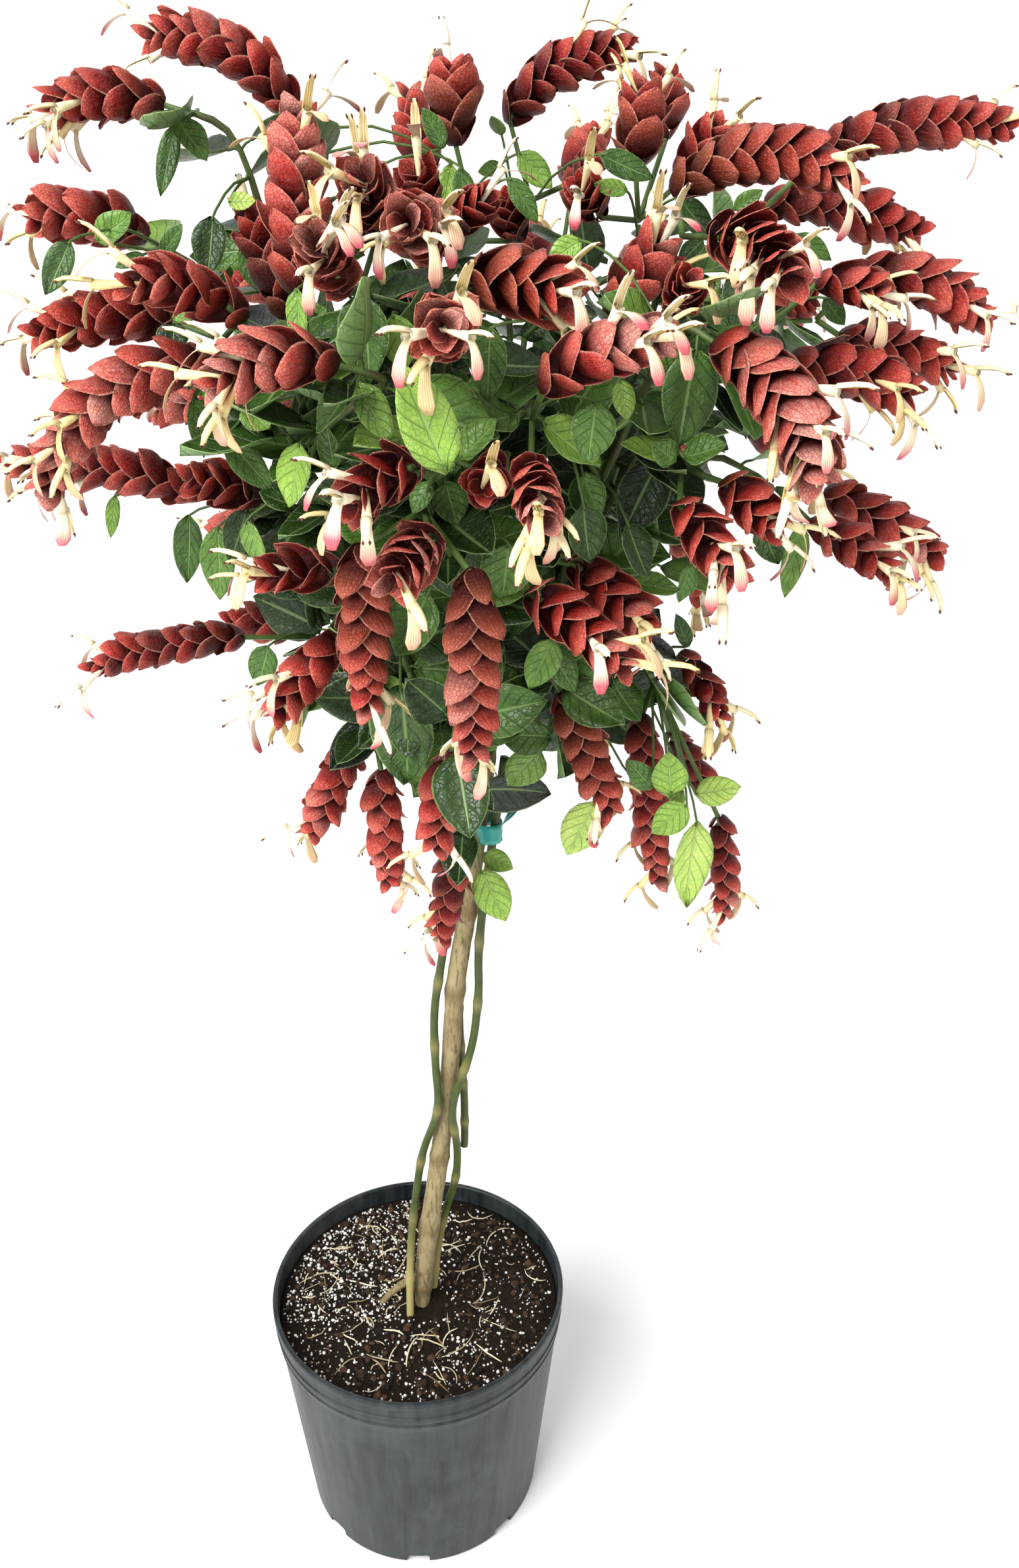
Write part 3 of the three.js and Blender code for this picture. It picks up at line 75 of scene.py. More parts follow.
# Bunches of flower spikes: the tone of each spike (b brick, c coral, d dark, o olive), the joint that their
# stalks share, and the spikes. Each spike: base x y z, tip x y z, bow x y z of its curve's handle, girth
# radius, number of open flowers.
bunchTable = {
    "spikes_left_1": ("b", None, [(-50, 20, 1135, -130, 10, 1170, 6, 0, 26, 15, 2)]),
    "spikes_left_2": ("b", None, [(-120, -10, 1135, -182, -20, 1130, 0, 0, 14, 15, 5)]),
    "spikes_left_3": ("b", None, [(-135, -20, 1065, -192, -40, 1075, 0, 0, 14, 16, 2)]),
    "spikes_left_4": ("bb", (-84, -70, 1012), [
        (-113, -52, 1020, -187, -80, 1015, 0, 0, 14, 15, 4),
        (-66, -98, 1026, -116, -140, 1044, 0, 0, 16, 15, 2)]),
    "spikes_left_5": ("cd", (-38, -58, 1014), [
        (-36, -88, 1040, -31, -80, 1127, -2, 0, 0, 18, 4),
        (-54, -20, 1022, -76, -10, 1080, 0, 0, 0, 14, 1)]),
    "spikes_left_6": ("c", None, [(-86, -105, 1003, -180, -118, 932, -22, 0, 32, 16, 7)]),
    "spikes_left_7": ("c", None, [(-6, -182, 1010, -60, -212, 1003, 0, 0, 14, 16, 7)]),
    "spikes_left_8": ("bd", (-64, -42, 912), [
        (-120, -20, 915, -234, -30, 935, 0, 0, 16, 15, 5),
        (-72, -68, 920, -104, -92, 938, 0, 0, 6, 14, 0)]),
    "spikes_left_9": ("dd", (-55, 4, 812), [
        (-100, -22, 820, -202, -32, 800, 0, 0, 12, 14, 2),
        (-64, 28, 812, -118, 32, 815, 0, 0, 4, 14, 0)]),
    "spikes_front_1": ("db", (-3, -112, 876), [
        (-16, -130, 893, -56, -160, 898, 0, 0, 6, 13, 3),
        (-18, -118, 852, -56, -140, 812, 0, 0, 6, 15, 6)]),
    "spikes_front_2": ("bb", (-6, -84, 776), [
        (-20, -72, 768, -52, -80, 703, 0, 0, 0, 14, 2),
        (0, -110, 760, 2, -112, 682, 0, 0, 0, 13, 4)]),
    "spikes_front_3": ("b", None, [(46, -150, 790, 35, -150, 728, 0, 0, 0, 14, 4)]),
    "spikes_front_4": ("d", None, [(46, -66, 688, 33, -70, 616, 0, 0, 0, 13, 3)]),
    "spikes_front_5": ("ooc", (34, -158, 934), [
        (0, -172, 916, 2, -172, 824, 0, 0, 0, 14, 3),
        (61, -208, 912, 61, -205, 808, 0, 0, 0, 14, 2),
        (40, -184, 926, 24, -240, 916, 0, 0, 4, 14, 1)]),
    "spikes_front_6": ("ddd", (42, -146, 962), [
        (34, -190, 962, 4, -232, 952, 0, 0, 8, 14, 3),
        (8, -156, 944, 2, -186, 938, 0, 0, 0, 10, 1),
        (70, -150, 950, 66, -192, 953, 0, 0, 0, 12, 1)]),
    "spikes_front_7": ("ccd", (-6, -56, 1036), [
        (4, -40, 1066, 2, -92, 1096, 0, 0, 0, 16, 4),
        (-8, -120, 1044, -14, -168, 1066, 0, 0, 0, 14, 4),
        (-26, -24, 1036, -32, -40, 1056, 0, 0, 0, 11, 0)]),
    "spikes_front_8": ("cdd", (40, -36, 1058), [
        (38, -66, 1068, 28, -144, 1074, 0, 0, 0, 17, 5),
        (46, -22, 1070, 66, -38, 1086, 0, 0, 0, 12, 1),
        (34, 8, 1080, 26, -8, 1098, 0, 0, 0, 13, 1)]),
    "spikes_front_9": ("oc", (50, -116, 1018), [
        (58, -120, 1042, 107, -150, 1040, 0, 0, 10, 18, 3),
        (48, -150, 1024, 50, -228, 1030, 0, 0, 0, 15, 4)]),
    "spikes_front_10": ("cc", (92, -140, 978), [
        (97, -180, 999, 152, -202, 1024, 0, 0, 10, 15, 6),
        (91, -168, 956, 96, -230, 942, 0, 0, 8, 13, 5)]),
    "spikes_front_11": ("bb", (146, -72, 1006), [
        (137, -62, 1026, 166, -60, 1062, 0, 0, 0, 16, 5),
        (170, -106, 1030, 172, -132, 1046, 0, 0, 0, 11, 1)]),
    "spikes_front_12": ("bb", (100, -122, 898), [
        (117, -108, 892, 157, -148, 866, 0, 0, 6, 15, 2),
        (92, -160, 888, 140, -212, 864, 0, 0, 6, 15, 4)]),
    "spikes_front_13": ("o", None, [(112, -100, 808, 144, -110, 732, 3, 0, 0, 14, 3)]),
    "spikes_right_1": ("bddb", (176, -42, 796), [
        (166, -60, 776, 184, -60, 652, 0, 0, 0, 13, 3),
        (192, -10, 746, 228, -10, 696, 0, 0, 3, 12, 0),
        (191, -60, 822, 215, -80, 786, 0, 0, 2, 11, 3),
        (226, -40, 694, 234, -40, 614, 4, 0, 0, 11, 3)]),
    "spikes_right_2": ("bb", (176, -112, 948), [
        (200, -122, 941, 222, -152, 924, 0, 0, 4, 14, 2),
        (172, -148, 934, 194, -190, 908, 0, 0, 4, 14, 3)]),
    "spikes_right_3": ("bb", (246, -40, 922), [
        (280, -30, 916, 351, -40, 879, 0, 0, 8, 15, 4),
        (262, -72, 908, 304, -102, 884, 0, 0, 6, 13, 3)]),
    "spikes_right_4": ("c", None, [(188, -148, 1016, 229, -212, 960, 12, 0, 16, 19, 7)]),
    "spikes_right_5": ("ddb", (224, -28, 1006), [
        (242, -72, 1000, 306, -90, 984, 0, 0, 8, 16, 4),
        (240, 8, 1030, 264, 0, 1030, 0, 0, 0, 12, 0),
        (260, -40, 1041, 290, -60, 1036, 0, 0, 4, 13, 4)]),
    "spikes_right_6": ("bb", (270, 0, 1018), [
        (296, 6, 1046, 371, -8, 1019, 0, 0, 14, 16, 2),
        (286, -4, 1008, 355, -14, 990, 0, 0, 8, 14, 3)]),
    "spikes_right_7": ("ob", (178, -50, 1066), [
        (176, -30, 1090, 272, -58, 1090, 0, 0, 38, 16, 2),
        (192, -92, 1066, 217, -170, 1048, 0, 0, 10, 17, 5)]),
    "spikes_right_8": ("dd", (236, 46, 1076), [
        (276, 40, 1115, 386, 30, 1125, 0, 0, 16, 15, 3),
        (246, 58, 1084, 342, 50, 1066, 0, 0, 12, 15, 4)]),
    "spikes_top_1": ("obbd", (162, 46, 1074), [
        (158, 40, 1104, 162, 40, 1146, 0, 0, 0, 17, 3),
        (184, 108, 1124, 182, 110, 1160, 0, 0, 0, 13, 0),
        (188, 60, 1096, 210, 52, 1127, 0, 0, 0, 15, 2),
        (136, 20, 1076, 122, 0, 1092, 0, 0, 0, 12, 2)]),
    "spikes_top_2": ("dd", (94, 88, 1086), [
        (80, 100, 1134, 156, 90, 1173, -16, 0, 18, 15, 5),
        (124, 90, 1098, 136, 88, 1112, 0, 0, 0, 11, 1)]),
    "spikes_top_3": ("od", (60, 58, 1062), [
        (46, 60, 1118, 45, 58, 1157, 0, 0, 0, 17, 1),
        (86, 62, 1062, 77, 50, 1084, 0, 0, 0, 13, 0)]),
    "spikes_back_1": ("bc", (-52, 76, 984), [
        (-62, 92, 1020, -122, 132, 1034, 0, 0, 14, 15, 3),
        (-92, 62, 962, -168, 90, 950, 0, 0, 14, 15, 4)]),
    "spikes_back_2": ("db", (-4, 128, 962), [
        (-40, 132, 960, -92, 194, 930, 0, 0, 14, 16, 4),
        (18, 152, 1010, 8, 224, 1010, 0, 0, 12, 15, 4)]),
    "spikes_back_3": ("bb", (-42, 90, 880), [
        (-32, 114, 868, -84, 154, 818, 0, 0, 12, 14, 3),
        (-82, 82, 882, -142, 112, 852, 0, 0, 10, 15, 3)]),
    "spikes_back_4": ("cb", (16, 94, 1066), [
        (0, 122, 1072, -32, 168, 1102, 0, 0, 8, 15, 3),
        (24, 92, 1098, 14, 120, 1150, 0, 0, 0, 14, 2)]),
    "spikes_back_5": ("bbo", (104, 128, 976), [
        (92, 170, 1046, 100, 240, 1056, 0, 0, 12, 16, 4),
        (124, 152, 1092, 142, 202, 1130, 0, 0, 6, 15, 3),
        (102, 156, 966, 112, 228, 928, 0, 0, 14, 15, 4)]),
    "spikes_back_6": ("cb", (192, 116, 1024), [
        (164, 142, 1042, 194, 208, 1034, 0, 0, 12, 15, 4),
        (232, 112, 1030, 294, 162, 1010, 0, 0, 12, 15, 3)]),
    "spikes_back_7": ("bdb", (196, 108, 934), [
        (184, 152, 946, 222, 212, 906, 0, 0, 14, 15, 4),
        (250, 102, 940, 322, 136, 900, 0, 0, 12, 15, 3),
        (204, 112, 862, 242, 152, 790, 0, 0, 10, 14, 3)]),
    "spikes_back_8": ("bobd", (98, 112, 862), [
        (42, 150, 890, 22, 208, 832, 0, 0, 12, 14, 4),
        (124, 142, 868, 132, 192, 798, 0, 0, 12, 15, 3),
        (60, 102, 800, 54, 130, 720, 0, 0, 6, 14, 3),
        (142, 82, 790, 160, 102, 708, 0, 0, 4, 13, 3)]),
}

# Boughs: pairs of ruled leaves on each twig, handle and end of its curve, and the bunches that it carries.
boughs = {
    "bough_left_high": {"pairs": 1, "handle": (-16, 15, 880), "end": (-62, 4, 1000),
        "carries": ["spikes_left_1", "spikes_left_2", "spikes_left_3"]},
    "bough_left_front": {"pairs": 0, "handle": (-8, -62, 878), "end": (-44, -92, 958),
        "carries": ["spikes_left_4", "spikes_left_5", "spikes_left_6", "spikes_left_7"]},
    "bough_left_low": {"pairs": 1, "handle": (-34, -2, 778), "end": (-40, -14, 866),
        "carries": ["spikes_left_8", "spikes_left_9"]},
    "bough_front_low": {"pairs": 0, "handle": (30, -84, 778), "end": (16, -112, 838),
        "carries": ["spikes_front_1", "spikes_front_2", "spikes_front_3", "spikes_front_4"]},
    "bough_front_mid": {"pairs": 0, "handle": (60, -92, 852), "end": (46, -126, 912),
        "carries": ["spikes_front_5", "spikes_front_6"]},
    "bough_front_top": {"pairs": 0, "handle": (48, -22, 900), "end": (34, -70, 990),
        "carries": ["spikes_front_7", "spikes_front_8", "spikes_front_9"]},
    "bough_front_right": {"pairs": 0, "handle": (112, -62, 858), "end": (132, -96, 938),
        "carries": ["spikes_front_10", "spikes_front_11", "spikes_right_2", "spikes_right_4"]},
    "bough_right_low": {"pairs": 0, "handle": (134, -42, 772), "end": (150, -52, 846),
        "carries": ["spikes_front_12", "spikes_front_13", "spikes_right_1", "spikes_right_3"]},
    "bough_right_high": {"pairs": 1, "handle": (142, -10, 905), "end": (190, -14, 984),
        "carries": ["spikes_right_5", "spikes_right_6", "spikes_right_7", "spikes_right_8"]},
    "bough_top": {"pairs": 1, "handle": (75, 30, 900), "end": (90, 44, 1004),
        "carries": ["spikes_top_1", "spikes_top_2", "spikes_top_3"]},
    "bough_back_left": {"pairs": 1, "handle": (38, 62, 862), "end": (6, 88, 936),
        "carries": ["spikes_back_1", "spikes_back_2", "spikes_back_3", "spikes_back_4"]},
    "bough_back_right": {"pairs": 1, "handle": (110, 62, 862), "end": (134, 98, 938),
        "carries": ["spikes_back_5", "spikes_back_6", "spikes_back_7", "spikes_back_8"]},
}

# Leaves: foot x y z, tip x y z, width.
chosenLeaves = [
    (-110, -10, 1128, -92, -20, 1108, 17), (-112, -14, 1124, -124, -22, 1088, 12),
    (-90, -38, 1076, -95, -46, 1046, 19), (-152, -58, 1064, -130, -68, 1078, 15),
    (-158, -48, 1064, -174, -56, 1038, 15), (-108, -80, 1022, -110, -86, 1006, 17),
    (-30, -128, 1042, -32, -136, 1014, 12), (6, -150, 1040, 6, -158, 998, 26),
    (44, 42, 1106, 38, 36, 1080, 12), (50, 32, 1104, 55, 26, 1076, 15),
    (40, 36, 1115, 28, 30, 1136, 12), (86, 80, 1114, 108, 74, 1094, 17),
    (80, 60, 1098, 98, 54, 1074, 13), (134, 8, 1110, 166, 2, 1098, 15),
    (140, -108, 1064, 120, -116, 1016, 24), (120, -60, 1064, 102, -66, 1054, 14),
    (20, -140, 1030, 26, -146, 1004, 18), (70, -180, 1024, 68, -186, 988, 18),
    (4, -160, 1000, 21, -166, 974, 16), (50, -200, 964, 32, -206, 1014, 26),
    (55, -200, 965, 72, -206, 986, 16), (92, -180, 990, 80, -188, 948, 18),
    (124, -170, 990, 121, -176, 962, 22), (136, -160, 1000, 142, -166, 982, 13),
    (170, -140, 960, 140, -146, 968, 16), (164, -110, 995, 176, -116, 1017, 16),
    (120, -130, 948, 132, -136, 926, 15), (120, -140, 934, 126, -146, 904, 22),
    (146, -130, 920, 161, -136, 892, 20), (154, -90, 876, 182, -96, 875, 15),
    (190, -80, 884, 185, -86, 862, 14), (80, -170, 918, 76, -176, 890, 26),
    (46, -180, 948, 52, -186, 926, 18), (38, -180, 950, 28, -186, 936, 12),
    (0, -120, 908, -16, -126, 926, 17), (-16, -130, 950, -20, -136, 974, 13),
    (35, -150, 886, 14, -156, 852, 29), (16, -140, 826, 16, -148, 764, 38),
    (106, -120, 850, 92, -126, 820, 19), (105, -110, 840, 121, -116, 816, 17),
    (74, -100, 814, 77, -106, 788, 16), (106, -90, 776, 74, -96, 778, 23),
    (100, -80, 762, 80, -86, 738, 25), (146, -70, 806, 166, -76, 782, 23),
    (138, -60, 716, 120, -66, 676, 27), (60, -56, 662, 78, -62, 622, 24),
    (62, -54, 670, 82, -60, 660, 15), (-104, -80, 980, -102, -86, 946, 12),
    (-102, -80, 980, -86, -86, 962, 12), (-80, -100, 962, -56, -106, 934, 17),
    (-68, -100, 980, -54, -106, 968, 17), (-34, -130, 964, -46, -136, 932, 25),
    (-44, -100, 926, -60, -106, 936, 14), (-118, -50, 908, -124, -56, 866, 18),
    (-100, -56, 902, -104, -62, 856, 21), (-80, -60, 914, -94, -66, 882, 18),
    (-76, -60, 912, -70, -66, 884, 16), (-78, -40, 820, -88, -46, 794, 19),
    (168, -150, 958, 156, -156, 968, 14), (172, -150, 960, 192, -156, 970, 18),
    (171, -164, 955, 175, -170, 904, 23), (230, -80, 910, 242, -86, 886, 19),
    (262, -50, 902, 255, -56, 856, 15), (180, -20, 1086, 202, -26, 1064, 15),
    (192, -60, 1064, 177, -66, 1053, 13), (201, -90, 1048, 210, -96, 1014, 16),
    (190, -80, 1034, 201, -86, 1018, 12), (186, -110, 1010, 210, -116, 1026, 12),
    (218, -70, 1018, 235, -76, 1002, 15), (268, -40, 1032, 281, -46, 1018, 12),
    (200, -60, 722, 186, -66, 752, 21), (162, -50, 726, 176, -56, 740, 17),
    (205, -60, 722, 234, -66, 730, 19), (200, -60, 714, 178, -66, 688, 18),
    (206, -60, 706, 203, -66, 640, 25),
]

# Young leaves, which only the looks hold.
smallLeaves = [
    (-84, -18, 1084, -68, -26, 1085, 10), (-80, -10, 1060, -74, -16, 1036, 11),
    (-134, -30, 1056, -150, -36, 1050, 8), (-124, -30, 1055, -110, -36, 1072, 10),
    (-106, -90, 1025, -88, -96, 1031, 9), (76, 90, 1106, 60, 84, 1104, 10),
    (75, 80, 1124, 70, 74, 1136, 11), (150, 0, 1090, 130, -6, 1094, 10),
    (54, -50, 728, 56, -56, 700, 11), (-172, -20, 914, -178, -26, 888, 9),
    (194, -60, 826, 186, -66, 848, 10), (216, 10, 1080, 231, 4, 1091, 10),
    (260, 30, 1066, 282, 24, 1052, 11), (186, -80, 1034, 195, -86, 1046, 11),
    (172, -92, 741, 156, -100, 762, 15), (184, -92, 737, 180, -100, 768, 22),
    (195, -92, 729, 173, -100, 712, 20),
]


def vec(*row):
    return np.array(row, float)


def unit(a):
    return a / max(np.linalg.norm(a), 1e-12)


def crossed(a, b):
    return unit(np.cross(a, b))


def mix(a, b, t):
    return a + (b - a) * t


def gapTo(a, b):
    return float(np.linalg.norm(np.asarray(a) - b))


def around(turn, right, up):
    return right * cos(turn) + up * sin(turn)


def draws(seed):
    state = [seed]

    def draw():
        state[0] = state[0] * 16807 % 2147483647
        return state[0] / 2147483647
    return draw


def sideways(direction):  # two directions square to a direction
    hint = vec(0, 0, 1) if abs(direction[2]) < 0.8 else vec(0, 1, 0)
    right = crossed(direction, hint)
    return right, crossed(right, direction)


def bezier(controls, t):
    points = [np.asarray(one, float) for one in controls]
    while len(points) > 1:
        points = [a + (b - a) * t for a, b in zip(points, points[1:])]
    return points[0]


def bezierThrough(controls, steps):
    return np.array([bezier(controls, i / steps) for i in range(steps + 1)])


def bezierHeading(controls, t):
    return unit(bezier(controls, min(1, t + 1e-4)) - bezier(controls, max(0, t - 1e-4)))


def splinePoint(points, t):  # centripetal Catmull-Rom through the points
    last = len(points) - 1
    points = [np.asarray(one, float) for one in points]
    run = min(int(last * t), last - 1)
    weight = last * t - run
    p1, p2 = points[run], points[run + 1]
    p0 = points[run - 1] if run else 2 * points[0] - points[1]
    p3 = points[run + 2] if run + 2 <= last else 2 * points[last] - points[last - 1]
    d0, d1, d2 = (max(sqrt(gapTo(a, b)), 1e-4) for a, b in ((p0, p1), (p1, p2), (p2, p3)))
    m1 = ((p1 - p0) / d0 - (p2 - p0) / (d0 + d1) + (p2 - p1) / d1) * d1
    m2 = ((p2 - p1) / d1 - (p3 - p1) / (d1 + d2) + (p3 - p2) / d2) * d1
    cubic, square = 2 * p1 - 2 * p2 + m1 + m2, -3 * p1 + 3 * p2 - 2 * m1 - m2
    return p1 + m1 * weight + square * weight ** 2 + cubic * weight ** 3


def splineThrough(points, steps):
    return np.array([splinePoint(points, i / steps) for i in range(steps + 1)])


# Everything that takes up room, as balls: centre, radius, owner, kind.
kinds = {"spike": 0, "stem": 1, "flower": 2, "leaf": 3}
owners = {}
balls = {"centre": np.zeros((16000, 3)), "radius": np.zeros(16000), "owner": np.zeros(16000, int),
         "kind": np.zeros(16000, int), "count": 0}


def addBalls(centres, radius, owner, kind):
    room = slice(balls["count"], balls["count"] + len(centres))
    balls["centre"][room], balls["radius"][room] = centres, radius
    balls["owner"][room] = owners.setdefault(owner, len(owners))
    balls["kind"][room] = kinds[kind]
    balls["count"] = room.stop


def gapsBetween(points, centres):
    points = np.atleast_2d(points)
    square = (points ** 2).sum(1)[:, None] + (centres ** 2).sum(1)[None] - 2 * points @ centres.T
    return np.sqrt(np.maximum(square, 0))


def spaceAround(points, owner, extra={}):  # smallest space left to everything that others own
    n = balls["count"]
    other = balls["owner"][:n] != owners.get(owner, -1)
    if not other.any():
        return 1e9
    more = np.array([extra.get(kind, 0) for kind in kinds])
    room = balls["radius"][:n][other] + more[balls["kind"][:n][other]]
    return float((gapsBetween(points, balls["centre"][:n][other]) - room[None]).min())


def girthAt(spike, t):  # slimmer towards the foot and the tip
    swell = mix(0.6, 1, t / 0.22) if t < 0.22 else 1
    taper = mix(1, 0.55, (t - 0.65) / 0.35) if t > 0.65 else 1
    return spike["girth"] * swell * taper


def pointOn(route, share):  # each straight run of the route counts alike
    place = min(share * (len(route) - 1), len(route) - 1.001)
    run = int(place)
    return route[run] + (route[run + 1] - route[run]) * (place - run)


def pointsOn(route, first, last, steps):
    return np.array([pointOn(route, i / steps) for i in range(first, last)])


def headingOn(route, share):
    return unit(pointOn(route, min(1, share + 0.05)) - pointOn(route, max(0, share - 0.05)))


bunches = {}
for name, (tones, joint, rows) in bunchTable.items():
    spikes = []
    for row, tone in zip(rows, tones):
        base, tip, bow = (np.array(row[i:i + 3], float) for i in (0, 3, 6))
        spikes.append({"base": base, "tip": tip, "curve": (base, (base + tip) / 2 + bow, tip),
                       "girth": row[9], "flowers": row[10], "tone": tone})
    at = np.array(joint or spikes[0]["base"], float)
    lead = vec(0, 0, 0)
    for spike in spikes:
        girths = np.array([girthAt(spike, i / 12) for i in range(13)])
        addBalls(bezierThrough(spike["curve"], 12), girths + roomOf["bractEdge"], name, "spike")
        if joint:
            lead += unit(spike["base"] - at)
            addBalls([mix(at, spike["base"], i / 8) for i in range(8)], roomOf["stalk"], name, "stem")
        else:
            lead += bezierHeading(spike["curve"], 0)
    bunches[name] = {"name": name, "joint": joint, "at": at, "spikes": spikes, "open": [],
                     "lead": unit(lead) if lead @ lead > 0.01 else vec(0, 0, 1)}

trunk = {"route": [(2, -9, 128), (3, -8, 200), (9, -5, 270), (20, -2, 350), (31, 0, 440), (38, 0, 530),
                   (50, 0, 610), (58, 0, 680), (65, 0, 742)],
         "radii": [(128, 5.6), (205, 6), (235, 8.2), (300, 8.3), (400, 7.4), (742, 7)]}
tieTail = [(75.4, 6.6, 668), (90, 0, 694), (94, -20, 745), (84, -52, 800)]
addBalls(splineThrough(tieTail, 12), roomOf["tie"], "tie_ribbon", "stem")
addBalls(splineThrough(trunk["route"], 40), roomOf["trunk"], "trunk", "stem")

# Boughs leave the knob square to it; twigs leave the boughs and bend clear of what is in their way.
hubCentre = np.array(hub["centre"], float)
for name, bough in boughs.items():
    away = unit(np.array(bough["handle"], float) - hubCentre)
    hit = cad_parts["trunk"].ray_cast(Vector(hubCentre / 1000), Vector(away))[1]
    start = np.array(hit) * 1000 + away * hub["room"]
    curve = (start, bough["handle"], bough["end"])
    bough.update(name=name, curve=curve, route=bezierThrough(curve, stem["boughSteps"]), twigs=[], leaves=[])
    addBalls(pointsOn(bough["route"], 1, 17, 16), roomOf["bough"], name, "stem")


def twigRoute(bough, bunch, share, push, close):
    start = pointOn(bough["route"], share)
    end = bunch["at"] - bunch["lead"] * (stem["room"] if bunch["joint"] else gap)
    span = gapTo(start, end)
    leaving = unit(unit(end - start) * twig["forward"] + headingOn(bough["route"], share))
    route = bezierThrough((start, start + leaving * twig["handle"] * span + push,
                           end - bunch["lead"] * close * span, end), stem["twigSteps"])
    route[-2] = end - bunch["lead"] * twig["neck"] * span
    return route


def clearestTwig(bough, bunch, order):  # the first way that is clear, or else the clearest one
    best = None
    for reach in twig["pushes"]:
        for close in twig["closes"]:
            for share in order:
                for i in range(6 if reach else 1):
                    turn = i * pi / 3
                    push = vec(reach * cos(turn), reach * sin(turn), reach * 0.3)
                    route = twigRoute(bough, bunch, share, push, close)
                    points = pointsOn(route, 1, 24, 24)
                    clear = points[np.linalg.norm(points - bunch["at"], axis=1) > twig["ownEnd"]]
                    space = spaceAround(clear, bough["name"]) - stem["twigRadius"]
                    if best is None or space > best[0]:
                        best = (space, route)
                    if space > clearance["twig"]:
                        return best[1]
    return best[1]


forks = [[1], [0.7, 0.5, 0.9], [0.5, 0.3, 0.7], [0.3, 0.9, 0.5]]  # where along a bough its twigs may start
for bough in boughs.values():
    for order, name in zip(forks, bough["carries"]):
        route = clearestTwig(bough, bunches[name], order)
        bough["twigs"].append(route)
        addBalls(pointsOn(route, 0, 24, 24), stem["twigRadius"], bough["name"], "stem")
print("stems routed")


# Open flowers stand out of the front half of a spike and keep clear of everything else.
def flowerAt(spike, t, turn, length):
    root, ahead = bezier(spike["curve"], t), bezierHeading(spike["curve"], t)
    lean = unit(ahead * flower["ahead"] + around(turn, *sideways(ahead)) * flower["lean"])
    side = crossed(lean, vec(0, 0, 1) if abs(lean[2]) < 0.95 else vec(0, 1, 0))
    rise = crossed(side, lean)
    throat = root + lean * (girthAt(spike, t) + length * flower["tube"])
    upper = throat + lean * length * flower["upperReach"] + rise * length * flower["upperRise"]
    lower = throat + lean * length * flower["lowerReach"] - rise * length * flower["droop"]
    return {"throat": throat, "lean": lean, "side": side, "rise": rise, "length": length,
            "tips": np.array([throat, upper, lower]),
            "points": np.array([throat, upper, lower, mix(root, throat, 0.72), mix(throat, upper, 0.5),
                                mix(throat, lower, 0.5)])}


draw = draws(flower["seed"])
for bunch in bunches.values():
    for spike in bunch["spikes"]:
        for i in range(spike["flowers"]):
            t = 0.9 - 0.55 * (i / max(4, spike["flowers"])) - 0.05 * draw()
            first = 2.4 * i + 6.28 * draw()
            length = flower["length"] * (0.85 + 0.25 * draw())
            for k in range(9):
                made = flowerAt(spike, t, first + k * 0.7, length)
                if spaceAround(made["points"], bunch["name"]) < clearance["flower"]:
                    continue
                others = [tip for one in bunch["open"] for tip in one["tips"]]
                if others and gapsBetween(made["tips"], np.array(others)).min() <= clearance["flowersApart"]:
                    continue
                bunch["open"].append(made)
                break
    for made in bunch["open"]:
        addBalls(made["points"], roomOf["flower"], bunch["name"], "flower")


# A leaf: foot, tip, width, and the direction its face looks.
def leafFrame(foot, tip, width, face):
    ahead = unit(tip - foot)
    right = crossed(ahead, face)
    return {"foot": foot, "ahead": ahead, "right": right, "up": crossed(right, ahead), "width": width,
            "length": gapTo(foot, tip)}


def leafPlaces(one, u, side, lift, arch=leaf["arch"]):
    fold = leaf["keel"] * one["width"] * (1 - abs(side)) * 4 * u * (1 - u)
    raised = lift - arch * one["length"] * u * u - fold
    beside = side * 0.5 * one["width"]
    return (one["foot"] + np.multiply.outer(one["length"] * u, one["ahead"])
            + np.multiply.outer(beside, one["right"]) + np.multiply.outer(raised, one["up"]))


leafGrid = np.array([[0.12, 0], [0.35, 0], [0.6, 0], [0.85, 0], [1, 0], [0.25, 0.9], [0.25, -0.9],
                     [0.62, 0.82], [0.62, -0.82], [0.84, 0.4], [0.84, -0.4], [0.44, 0.95], [0.44, -0.95]])
leafRoom = {"spike": 2, "stem": 3, "flower": 5.5, "leaf": 7}


def leafSpots(one):
    return leafPlaces(one, leafGrid[:, 0], leafGrid[:, 1], 0)


def outward(point):
    return unit(unit(point - vec(*crown["centre"])) + vec(*crown["rise"]))


def ownBalls(bough):
    n = balls["count"]
    own = balls["owner"][:n] == owners[bough["name"]]
    return balls["centre"][:n][own], balls["radius"][:n][own], balls["kind"][:n][own]


def leafFits(bough, one):
    if spaceAround(leafSpots(one), bough["name"], leafRoom) < clearance["leaf"]:
        return False
    centres, radii, kind = ownBalls(bough)
    room = radii + np.where(kind == kinds["leaf"], clearance["ownLeaf"], clearance["ownStem"])
    return bool((gapsBetween(leafSpots(one)[2:], centres) > room[None]).all())


def keepLeaf(bough, one, start):
    one["from"] = start
    bough["leaves"].append(one)
    addBalls(leafSpots(one), roomOf["leaf"], bough["name"], "leaf")


shoots = [(bough, point) for bough in boughs.values() for route in [bough["route"], *bough["twigs"]]
          for point in pointsOn(route, 3, 37, 40)]
shootPoints = np.array([point for _, point in shoots])


